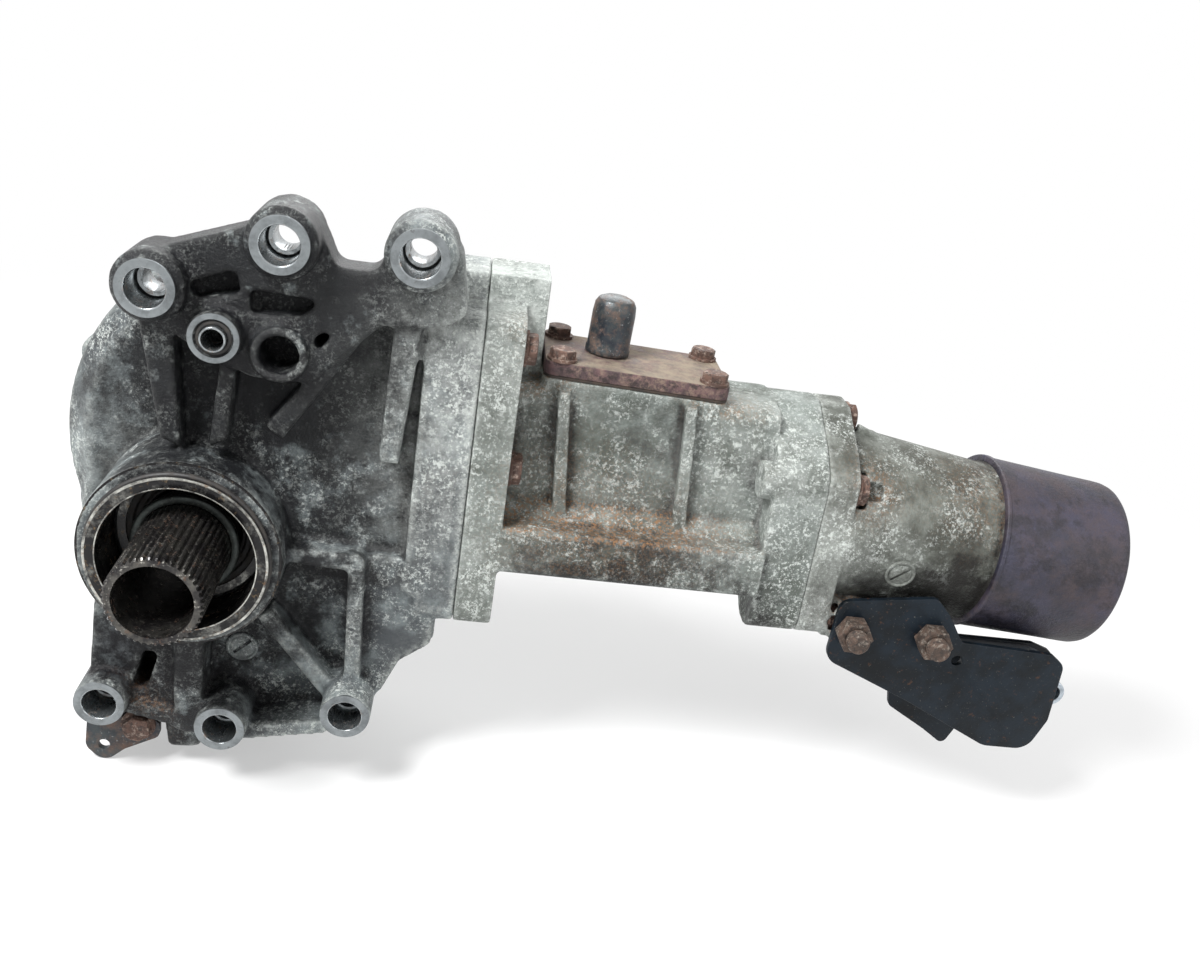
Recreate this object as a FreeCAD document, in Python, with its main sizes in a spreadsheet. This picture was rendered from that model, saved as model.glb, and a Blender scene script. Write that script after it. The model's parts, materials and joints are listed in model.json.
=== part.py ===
import FreeCAD, Part
import math
import os

import Sketcher

# Transfer case of a front-wheel-drive based car: it bolts to the side of the gearbox, takes its
# drive through a hollow splined shaft and turns it through a bevel pair to the propeller shaft.
#
# Frame, in millimetres: the origin is where the input axis meets the mounting face. The mounting
# face looks along -Y, the propeller shaft leaves along +X, and the vent cap points up along +Z.
# Three axes: the input shaft (along Y), the intermediate shaft (along Y, above and behind it),
# and the output shaft, which meets the intermediate shaft at a right angle and falls to the rear.

SIZES = {
    # reduction gears between the input shaft and the intermediate shaft
    "gear_module": 2.0,
    "drive_teeth": 46,
    "driven_teeth": 30,
    "gear_front": 54.0,             # front face of both gears, behind the mounting face
    "gear_width": 18.0,
    "hub_overhang": 1.0,            # a gear's hub stands this far past each face of its rim
    "tooth_backlash": 0.24,
    "pressure_angle": 20.0,
    # bevel pair between the intermediate shaft and the output shaft
    "bevel_module": 3.0,
    "ring_teeth": 32,
    "pinion_teeth": 14,
    "bevel_face": 13.0,
    "bevel_backlash": 0.5,
    "ring_gear_room": 3.5,          # casting's clearance outside the ring gear's pitch circle
    "ring_hub_behind": 9.0,         # ring gear body behind its pitch circle
    # where the axes are
    "shaft_x": 60.0,                # intermediate shaft, rearward of the input shaft
    "output_y": 62.0,               # output shaft, behind the mounting face
    "output_tilt": 5.2,             # degrees that the output shaft falls to the rear
    # input shaft
    "input_radius": 19.0,
    "input_bore": 15.5,
    "input_stick_out": 37.0,        # in front of the mounting face
    "spline_count": 44,
    "spline_depth": 1.0,
    "spline_end": 12.0,             # where the splines run out
    "input_seat": 20.0,             # shaft radius under seals and bearings
    "input_gear_seat": 22.0,
    "input_collar": 27.0,
    "input_collar_width": 4.0,
    "end_chamfer": 0.8,
    "dust_ring_radius": 22.4,
    "dust_ring_width": 3.0,
    # bearings: bore is the shaft seat, outside is the housing seat
    "input_bearing_outside": 34.0,
    "shaft_bearing_outside": 31.0,
    "front_pinion_bearing_outside": 28.0,
    "rear_pinion_bearing_outside": 31.0,
    "bearing_width": 16.0,
    "front_bearing_start": 36.0,
    "rear_bearing_start": 100.0,
    "pinion_bearing_width": 12.0,
    "cup_thin": 2.4,
    "cup_taper": 2.2,
    "bearing_gap": 0.05,
    # intermediate shaft
    "shaft_seat": 15.0,
    "shaft_gear_seat": 16.0,
    "shaft_collar": 21.0,
    "shaft_collar_gap": 0.5,
    "ring_seat": 18.0,
    "ring_hub_radius": 32.0,
    "driven_hub_radius": 23.0,
    "drive_hub_radius": 32.0,
    "shaft_end_room": 1.5,
    # output shaft, measured along its own axis from the bevel apex
    "pinion_back": 51.0,
    "pinion_bearing_start": 56.7,
    "pinion_seat": 17.0,
    "pinion_shaft_radius": 14.0,
    "pinion_rear_seat": 15.0,
    "rear_bearing_ahead": 18.9,     # rear pinion bearing ahead of the retainer's joint face
    "lock_nut_width": 9.0,
    "lock_nut_radius": 20.0,
    "spacer_wall": 2.5,
    "spacer_gap": 0.3,
    "output_spline_radius": 14.5,
    "output_spline_count": 24,
    "output_spline_depth": 1.2,
    "output_stick_out": 44.0,       # shaft past the retainer's cone
    "output_seal_seat": 16.0,
    # mounting case
    "drum_radius": 92.5,
    "drum_x": 33.0,
    "drum_z": 30.0,
    "drum_top": 101.0,
    "drum_front": 45.0,
    "drum_chamfer": 10.0,
    "gear_house_radius": 55.0,
    "case_wall": 6.0,
    "split_y": 106.0,
    "panel_front": 27.0,
    "web_front": 12.0,
    "rib_front": 14.0,
    "web_back": 45.0,
    "upper_back": 30.0,             # back of the upper bosses and the web that joins them
    "chamber_front": 53.0,
    "chamber_right": 98.0,
    "ring_boss_radius": 41.4,
    "ring_boss_front": 3.0,
    "pilot_radius": 36.8,
    "pilot_height": 2.0,
    "pilot_bore": 31.8,
    "pilot_depth": 27.0,
    "pilot_groove_width": 3.0,
    "pilot_groove_depth": 1.8,
    "seal_seat": 28.0,
    "seal_width": 8.0,
    "seal_gap": 0.05,
    "port_radius": 30.0,
    "boss_face_radius": 11.25,
    "boss_rough_radius": 14.0,
    "boss_counterbore": 7.9,
    "boss_counterbore_depth": 16.0,
    "boss_hole": 5.5,
    "lower_boss_radius": 11.0,
    "lower_counterbore": 7.4,
    "lower_boss_back": 40.0,
    "passage_radius": 10.4,
    "passage_front": 4.0,
    "passage_bore": 4.2,
    "passage_sleeve_radius": 5.2,
    "passage_depth": 18.0,
    "blind_radius": 11.2,
    "blind_bore": 7.8,
    "blind_depth": 26.0,
    # flange between the mounting case and the middle case
    "flange1_x": 113.5,
    "flange1_front": 18.0,
    "flange1_back": 106.0,
    "flange1_bottom": -29.0,
    "flange1_top": 110.0,
    "flange1_case_width": 17.0,
    "flange1_middle_width": 16.5,
    "flange1_corner": 7.0,
    "block_top": 122.0,
    "block_front": 50.0,
    "block_depth": 30.0,
    "block_reach": 25.5,
    # middle case
    "body_half_width": 24.0,
    "body_bottom": 8.0,
    "body_wall": 5.5,
    "pad_top": 82.0,
    "body_top": 79.0,
    "rail_top": 20.3,
    "rail_bottom": -1.0,
    "rail_depth": 12.0,
    "rail_rise": 8.0,
    "rail_inset": 3.0,
    # flange between the middle case and the output retainer
    "flange2_x": 268.0,
    "flange2_front": 21.0,
    "flange2_bottom": -19.0,
    "flange2_top": 80.0,
    "flange2_middle_width": 23.0,
    "flange2_retainer_width": 14.0,
    # cover plate on the middle case; it lies level with its own slight fall to the rear
    "plate_gap": 1.0,               # between the plate and the block in front of it
    "plate_length": 81.0,
    "plate_width": 47.0,
    "plate_thickness": 6.0,
    "plate_tilt": 1.9,
    "plate_bolt_end": 7.0,          # bolt centres in from the plate's ends
    "plate_bolt_side": 5.5,         # and in from its sides
    "plate_corner": 5.0,
    "gasket_thickness": 1.0,
    "window_length": 50.0,
    "window_width": 30.0,
    "vent_x": -12.5,
    "vent_y": 3.0,
    "vent_radius": 10.0,
    "vent_height": 26.0,
    "vent_crown": 4.0,
    "vent_stem": 4.0,
    # output retainer and dust guard, along the output axis from the bevel apex
    "cone_behind": 12.1,            # cone's large end behind the flange's joint face
    "cone_length": 74.0,
    "cone_start_radius": 42.5,
    "cone_end_radius": 37.6,
    "collar_radius": 40.8,
    "collar_width": 7.0,
    "groove_radius": 36.4,
    "groove_width": 5.0,
    "nose_radius": 38.3,
    "nose_length": 15.0,
    "retainer_bore": 24.0,
    "retainer_wall": 8.0,
    "output_seal_radius": 26.0,
    "output_passage": 20.0,
    "guard_wall": 1.5,
    "guard_length": 51.0,
    "guard_taper_length": 4.0,
    "guard_mouth": 36.0,
    # stay bracket under the output retainer
    "stay_front": 18.0,
    "stay_thickness": 3.0,
    "stay_gap": 24.0,
    "stud_behind": 24.7,            # first stud behind the retainer flange's joint face
    "stud_pitch": 37.6,
    "stud_z": -12.1,
    "stud_radius": 5.0,
    "stud_out": 14.0,
    "stud_in": 16.0,
    "stud_boss_radius": 11.0,
    "nut_flats": 14.0,
    "nut_height": 8.0,
    "sleeve_radius": 6.5,
    "sleeve_bore": 4.2,
    # fasteners, by thread radius
    "small_bolt": 3.0,
    "small_flats": 10.0,
    "small_head": 5.0,
    "case_bolt": 4.0,
    "case_flats": 12.0,
    "case_head": 5.3,
    "hole_clearance": 0.4,
    "plug_radius": 9.0,
    "plug_head": 12.0,
    "plug_height": 6.0,
    "plug_socket": 5.0,
    # left case
    "cover_thickness": 8.0,
    "cover_input_radius": 44.0,
    "cover_input_end": 126.0,
    "cover_shaft_radius": 38.0,
    "cover_shaft_end": 121.0,
    "cover_boss_wall": 5.0,
    "cover_rib": 6.0,
    "lug_radius": 8.5,
    "lug_depth": 16.0,
    # lifting and harness tab under the mounting case
    "tab_thickness": 3.0,
    "tab_hole": 2.6,
}

doc = FreeCAD.newDocument("transfer_case")
sheet = doc.addObject("Spreadsheet::Sheet", "dims")
for row, (alias, number) in enumerate(SIZES.items(), start=1):
    sheet.set(f"A{row}", alias)
    sheet.set(f"B{row}", str(number))
    sheet.setAlias(f"B{row}", alias)
doc.recompute()


class Size(float):
    """A number that also carries the spreadsheet formula it comes from."""

    def __new__(cls, value, formula):
        size = super().__new__(cls, value)
        size.formula = formula
        return size

    def __add__(self, other):
        return Size(float(self) + float(other), f"({self.formula} + {formula_of(other)})")

    def __radd__(self, other):
        return Size(float(other) + float(self), f"({formula_of(other)} + {self.formula})")

    def __sub__(self, other):
        return Size(float(self) - float(other), f"({self.formula} - {formula_of(other)})")

    def __rsub__(self, other):
        return Size(float(other) - float(self), f"({formula_of(other)} - {self.formula})")

    def __mul__(self, other):
        return Size(float(self) * float(other), f"({self.formula} * {formula_of(other)})")

    __rmul__ = __mul__

    def __truediv__(self, other):
        return Size(float(self) / float(other), f"({self.formula} / {formula_of(other)})")

    def __neg__(self):
        return Size(-float(self), f"(0 - {self.formula})")


def formula_of(value):
    """The spreadsheet formula of a size, or a plain number as text."""
    return value.formula if isinstance(value, Size) else f"{float(value):.6g}"


def sine(angle):
    return Size(math.sin(math.radians(angle)), f"sin({formula_of(angle)})")


def cosine(angle):
    return Size(math.cos(math.radians(angle)), f"cos({formula_of(angle)})")


def root(value):
    return Size(math.sqrt(value), f"sqrt({formula_of(value)})")


class Sheet:
    """The driving dimensions by name, each one a Size bound to its cell."""


S = Sheet()
for alias in SIZES:
    setattr(S, alias, Size(float(sheet.get(alias)), f"dims.{alias}"))

# Worked-out places. The gear pair sets how far apart the two Y axes are.
centre_distance = S.gear_module * (S.drive_teeth + S.driven_teeth) / 2
shaft_z = root(centre_distance * centre_distance - S.shaft_x * S.shaft_x)
ring_pitch = S.bevel_module * S.ring_teeth / 2
pinion_pitch = S.bevel_module * S.pinion_teeth / 2
gear_back = S.gear_front + S.gear_width
front_bearing_end = S.front_bearing_start + S.bearing_width
rear_bearing_end = S.rear_bearing_start + S.bearing_width
plate_x = S.flange1_x + S.block_reach + S.plate_gap + S.plate_length / 2
stud_x = S.flange2_x + S.stud_behind

# Places along the output axis, measured from the bevel apex.
flange2_along = (S.flange2_x - S.shaft_x) / cosine(S.output_tilt)
pinion_rear_bearing_start = flange2_along - S.rear_bearing_ahead
cone_start = flange2_along + S.cone_behind
cone_end = cone_start + S.cone_length
output_end = cone_end + S.output_stick_out

X_AXIS = FreeCAD.Vector(1, 0, 0)
Y_AXIS = FreeCAD.Vector(0, 1, 0)
Z_AXIS = FreeCAD.Vector(0, 0, 1)
ALONG_Y = FreeCAD.Rotation(Z_AXIS, 90)                       # local X points along world Y
FACING_Y = FreeCAD.Rotation(X_AXIS, 90)                      # sketch x, y lie along world X, Z
FACING_X = FreeCAD.Rotation(FreeCAD.Vector(1, 1, 1), 120)    # sketch x, y lie along world Y, Z
ROD_TO_Y = FreeCAD.Rotation(X_AXIS, -90)                     # a cylinder's axis along world Y
ROD_TO_X = FreeCAD.Rotation(Y_AXIS, 90)                      # a cylinder's axis along world X
LEVEL = FreeCAD.Rotation()
NODES = []


# --- small helpers that bind an object's properties to the spreadsheet ---------------------------

def bind(item, **values):
    """Sets properties, each bound to its spreadsheet formula when it has one."""
    for name, value in values.items():
        setattr(item, name, float(value))
        if isinstance(value, Size):
            item.setExpression(name, value.formula)


def place(item, x, y, z, rotation=LEVEL, angle=None):
    """Puts an item at a bound position; angle, when given, binds the turn about its axis."""
    item.Placement = FreeCAD.Placement(FreeCAD.Vector(x, y, z), rotation)
    for letter, value in zip("xyz", (x, y, z)):
        if isinstance(value, Size):
            item.setExpression(f"Placement.Base.{letter}", value.formula)
    if angle is not None:
        item.setExpression("Placement.Rotation.Angle", formula_of(angle))
    return item


def on_output_axis(item, quarter=0):
    """Places an item at the bevel apex, its local X (or, with quarter 90, Z) along the output."""
    turn = FreeCAD.Rotation(Y_AXIS, float(S.output_tilt) + quarter)
    return place(item, S.shaft_x, S.output_y, shaft_z, turn, S.output_tilt + quarter)


def box(name, x, y, z):
    """A box from three (low, high) pairs."""
    item = doc.addObject("Part::Box", name)
    bind(item, Length=x[1] - x[0], Width=y[1] - y[0], Height=z[1] - z[0])
    return place(item, x[0], y[0], z[0])


def rod_y(name, x, z, radius, front, back, end_radius=None):
    """A cylinder along Y from front to back, or a cone when end_radius is given."""
    kind = "Part::Cylinder" if end_radius is None else "Part::Cone"
    item = doc.addObject(kind, name)
    if end_radius is None:
        bind(item, Radius=radius, Height=back - front)
    else:
        bind(item, Radius1=radius, Radius2=end_radius, Height=back - front)
    return place(item, x, front, z, ROD_TO_Y)


def rod_x(name, y, z, radius, start, end):
    """A cylinder along X from start to end."""
    item = doc.addObject("Part::Cylinder", name)
    bind(item, Radius=radius, Height=end - start)
    return place(item, start, y, z, ROD_TO_X)


def output_height(x):
    """Height of the output axis above the input axis at a distance x to the rear."""
    return shaft_z - (x - S.shaft_x) * sine(S.output_tilt) / cosine(S.output_tilt)


def rod_out(name, radius, start, end, end_radius=None):
    """A cylinder or cone on the output axis, from start to end along it."""
    item = doc.addObject("Part::Cylinder" if end_radius is None else "Part::Cone", name)
    if end_radius is None:
        bind(item, Radius=radius, Height=end - start)
    else:
        bind(item, Radius1=radius, Radius2=end_radius, Height=end - start)
    turn = FreeCAD.Rotation(Y_AXIS, float(S.output_tilt) + 90)
    x = S.shaft_x + start * cosine(S.output_tilt)
    z = shaft_z - start * sine(S.output_tilt)
    return place(item, x, S.output_y, z, turn, S.output_tilt + 90)


def fuse(name, items):
    result = doc.addObject("Part::MultiFuse", name)
    result.Shapes = items
    result.Refine = True
    return result


def common(name, items):
    result = doc.addObject("Part::MultiCommon", name)
    result.Shapes = items
    return result


def cut(name, base, tool):
    result = doc.addObject("Part::Cut", name)
    result.Base = base
    result.Tool = tool
    return result


def group(name, items):
    result = doc.addObject("Part::Compound", name)
    result.Links = items
    return result


def node(item, label):
    """Names a finished piece; its label names its file."""
    item.Label = label
    NODES.append(item)
    return item


# --- sketches ---------------------------------------------------------------------------------------

def fix_point(sketch, geometry, point, x, y):
    """Holds one point of a sketch at a bound distance from the sketch's origin."""
    for kind, value, axis in (("DistanceX", x, -2), ("DistanceY", y, -1)):
        if float(value) == 0:
            sketch.addConstraint(Sketcher.Constraint("PointOnObject", geometry, point, axis))
            continue
        index = sketch.addConstraint(
            Sketcher.Constraint(kind, -1, 1, geometry, point, float(value)))
        if isinstance(value, Size):
            sketch.setExpression(f"Constraints[{index}]", value.formula)


def corner_arc(before, corner, after, radius):
    """The arc that rounds one corner, its ends on the two sides, and whether it turns left."""
    incoming = (before - corner).normalize()
    outgoing = (after - corner).normalize()
    half = incoming.getAngle(outgoing) / 2
    reach = radius / math.tan(half)
    bisector = (incoming + outgoing).normalize()
    centre = corner + bisector * (radius / math.sin(half))
    start = corner + incoming * reach
    end = corner + outgoing * reach
    turns_left = (corner - before).cross(after - corner).z > 0
    first, second = (start, end) if turns_left else (end, start)
    circle = Part.Circle(centre, Z_AXIS, radius)
    arc = Part.ArcOfCircle(circle, circle.parameter(first), circle.parameter(second))
    return arc, start, end, turns_left


def outline(sketch, corners):
    """Draws a closed outline of (x, y) or (x, y, corner radius) in a sketch, fully bound."""
    points = [FreeCAD.Vector(float(c[0]), float(c[1]), 0) for c in corners]
    count = len(points)
    arcs = {}
    for i, spec in enumerate(corners):
        if len(spec) == 3:
            arcs[i] = corner_arc(points[i - 1], points[i], points[(i + 1) % count], float(spec[2]))
    lines = []
    for i in range(count):
        after = (i + 1) % count
        start = arcs[i][2] if i in arcs else points[i]
        end = arcs[after][1] if after in arcs else points[after]
        lines.append(sketch.addGeometry(Part.LineSegment(start, end), False))
    for i, spec in enumerate(corners):
        line_in, line_out = lines[i - 1], lines[i]
        if i not in arcs:
            sketch.addConstraint(Sketcher.Constraint("Coincident", line_in, 2, line_out, 1))
            fix_point(sketch, line_out, 1, spec[0], spec[1])
            continue
        arc_shape, _, _, turns_left = arcs[i]
        arc = sketch.addGeometry(arc_shape, False)
        arc_in, arc_out = (1, 2) if turns_left else (2, 1)
        sketch.addConstraint(Sketcher.Constraint("Tangent", line_in, 2, arc, arc_in))
        sketch.addConstraint(Sketcher.Constraint("Tangent", arc, arc_out, line_out, 1))
        index = sketch.addConstraint(Sketcher.Constraint("Radius", arc, float(spec[2])))
        if isinstance(spec[2], Size):
            sketch.setExpression(f"Constraints[{index}]", spec[2].formula)
        corner = sketch.addGeometry(Part.Point(points[i]), True)
        sketch.addConstraint(Sketcher.Constraint("PointOnObject", corner, 1, line_in))
        sketch.addConstraint(Sketcher.Constraint("PointOnObject", corner, 1, line_out))
        fix_point(sketch, corner, 1, spec[0], spec[1])


def ring(sketch, x, y, radius):
    """Draws a bound circle in a sketch."""
    shape = Part.Circle(FreeCAD.Vector(float(x), float(y), 0), Z_AXIS, float(radius))
    circle = sketch.addGeometry(shape, False)
    fix_point(sketch, circle, 3, x, y)
    index = sketch.addConstraint(Sketcher.Constraint("Radius", circle, float(radius)))
    if isinstance(radius, Size):
        sketch.setExpression(f"Constraints[{index}]", radius.formula)


def slab(name, corners, start, end, facing):
    """An outline drawn across Y or X, or level, and extruded from start to end."""
    sketch = doc.addObject("Sketcher::SketchObject", f"{name}_outline")
    outline(sketch, corners)
    rotation, direction = {
        "y": (FACING_Y, Y_AXIS),
        "x": (FACING_X, X_AXIS),
        "z": (LEVEL, Z_AXIS),
    }[facing]
    base = {"y": (0, start, 0), "x": (start, 0, 0), "z": (0, 0, start)}[facing]
    place(sketch, *base, rotation)
    item = doc.addObject("Part::Extrusion", name)
    item.Base = sketch
    item.DirMode = "Custom"
    item.Dir = direction
    item.Solid = True
    bind(item, LengthFwd=end - start)
    return item


def new_sketch(body, name, plane="XY_Plane"):
    """A sketch on one of a body's own origin planes."""
    sketch = body.newObject("Sketcher::SketchObject", name)
    origin_plane = [f for f in body.Origin.OriginFeatures if f.Role == plane][0]
    sketch.AttachmentSupport = (origin_plane, [""])
    sketch.MapMode = "FlatFace"
    return sketch


def turned(label, profile):
    """A body turned about its local X from a profile of (distance along, radius) points."""
    body = doc.addObject("PartDesign::Body", f"{label}_body")
    sketch = new_sketch(body, f"{label}_profile")
    outline(sketch, profile)
    turn = body.newObject("PartDesign::Revolution", f"{label}_turned")
    turn.Profile = sketch
    turn.ReferenceAxis = (sketch, ["H_Axis"])
    turn.Angle = 360
    return body


def tube_profile(start, end, inner, outer):
    return [(start, inner), (end, inner), (end, outer), (start, outer)]


def on_y_axis(body, x=0, z=0):
    """Places a turned body with its axis along Y."""
    return place(body, x, 0, z, ALONG_Y)


def splines(body, label, radius, depth, count, start, end):
    """Cuts evenly spaced grooves along a turned body's local X, by one pocket and a pattern."""
    sketch = new_sketch(body, f"{label}_groove", "YZ_Plane")
    half_mouth = radius * sine(90 / count)
    half_floor = half_mouth * 0.62
    outline(sketch, [
        (-half_floor, radius - depth),
        (half_floor, radius - depth),
        (half_mouth, radius + 0.5),
        (-half_mouth, radius + 0.5),
    ])
    sketch.AttachmentOffset = FreeCAD.Placement(FreeCAD.Vector(0, 0, float(start)), LEVEL)
    sketch.setExpression("AttachmentOffset.Base.z", formula_of(start))
    pocket = body.newObject("PartDesign::Pocket", f"{label}_pocket")
    pocket.Profile = sketch
    pocket.Reversed = True
    bind(pocket, Length=end - start)
    pattern = body.newObject("PartDesign::PolarPattern", f"{label}_pattern")
    pattern.Originals = [pocket]
    turn_axis = [f for f in body.Origin.OriginFeatures if f.Role == "X_Axis"][0]
    pattern.Axis = (turn_axis, [""])
    pattern.Angle = 360
    pattern.Occurrences = int(count)
    pattern.setExpression("Occurrences", formula_of(count))
    body.Tip = pattern


# --- fasteners --------------------------------------------------------------------------------------

def hexagon(name, flats, height):
    """A hexagonal prism of a given width across its flats."""
    item = doc.addObject("Part::Prism", name)
    item.Polygon = 6
    bind(item, Circumradius=flats / math.sqrt(3), Height=height)
    return item


def bolt(name, spot, rotation, radius, flats, head, length, tilt=None):
    """A hexagon bolt: its head stands along local Z above the spot, its shank goes below."""
    x, y, z = spot
    top = place(hexagon(f"{name}_head", flats, head), x, y, z, rotation, tilt)
    washer = doc.addObject("Part::Cylinder", f"{name}_washer")
    bind(washer, Radius=flats * 0.62, Height=head * 0.2)
    place(washer, x, y, z, rotation, tilt)
    shank = doc.addObject("Part::Cylinder", f"{name}_shank")
    bind(shank, Radius=radius, Height=length + 1)
    down = rotation.multVec(Z_AXIS)
    place(shank, *step(spot, down, -length), rotation, tilt)
    return fuse(name, [top, washer, shank])


def step(spot, direction, distance):
    """A spot moved along one of the world axes."""
    moved = []
    for value, part in zip(spot, direction):
        share = round(part, 6)
        moved.append(value if abs(share) < 0.5 else value + distance * share)
    return moved


def holes_y(name, spots, radius, front, back):
    """Drilled holes along Y at several (x, z) spots, as one tool."""
    rods = [rod_y(f"{name}_{i}", x, z, radius, front, back) for i, (x, z) in enumerate(spots)]
    return group(name, rods)


def holes_x(name, spots, radius, start, end):
    """Drilled holes along X at several (y, z) spots, as one tool."""
    rods = [rod_x(f"{name}_{i}", y, z, radius, start, end) for i, (y, z) in enumerate(spots)]
    return group(name, rods)


# --- where things sit -------------------------------------------------------------------------------

UPPER_BOSSES = [(-13.4, 110.9), (34.7, 133.4), (86.1, 135.3)]
LOWER_BOSSES = [(-31.3, -72.9), (18.9, -80.6), (71.7, -68.8)]
PASSAGE = (11.0, 93.5)
BLIND_BOSS = (35.0, 88.5)
TAB_BOLT = (-18.5, -91.0)

flange1_in = S.flange1_front + 9
flange1_out = S.flange1_back - 9
FLANGE1_BOLTS = [
    (flange1_in, S.flange1_top - 12),
    (flange1_in, output_height(S.flange1_x) + 3),
    (flange1_out, S.flange1_top - 12),
    (flange1_out, S.flange1_bottom + 16),
    (flange1_out - 17, S.flange1_bottom + 14),
]
flange2_back = S.output_y * 2 - S.flange2_front
flange2_in = S.flange2_front + 8.5
flange2_out = flange2_back - 8.5
FLANGE2_BOLTS = [
    (flange2_in, output_height(S.flange2_x) + 24),
    (flange2_in, S.flange2_bottom + 8),
    (flange2_out, output_height(S.flange2_x) + 24),
    (flange2_out, S.flange2_bottom + 8),
    (S.output_y + 5, S.flange2_top - 8),
]
COVER_ANGLES = (138, 166, 194, 262, 286, 318)
COVER_BOLTS = [
    (S.drum_x + S.drum_radius * cosine(a), S.drum_z + S.drum_radius * sine(a))
    for a in COVER_ANGLES
] + [
    (-S.gear_house_radius * 0.72, -S.gear_house_radius * 0.72),
    (S.drum_x - 10, S.drum_top - 7),
    (S.drum_x + 45, S.drum_top - 7),
]


# --- the castings -----------------------------------------------------------------------------------

def drum(name, radius, gear_radius, front, back, inset):
    """The round gear chamber's form, trimmed at its top, its foot and its flange side."""
    disc = rod_y(f"{name}_disc", S.drum_x, S.drum_z, radius, front, back)
    limits = box(
        f"{name}_limits",
        (S.drum_x - S.drum_radius - 1, S.flange1_x - inset),
        (front - 1, back + 1),
        (S.drum_z - S.drum_radius - 1, S.drum_top - inset),
    )
    house = rod_y(f"{name}_house", 0, 0, gear_radius, front, back)
    return fuse(name, [common(f"{name}_trimmed", [disc, limits]), house])


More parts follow.
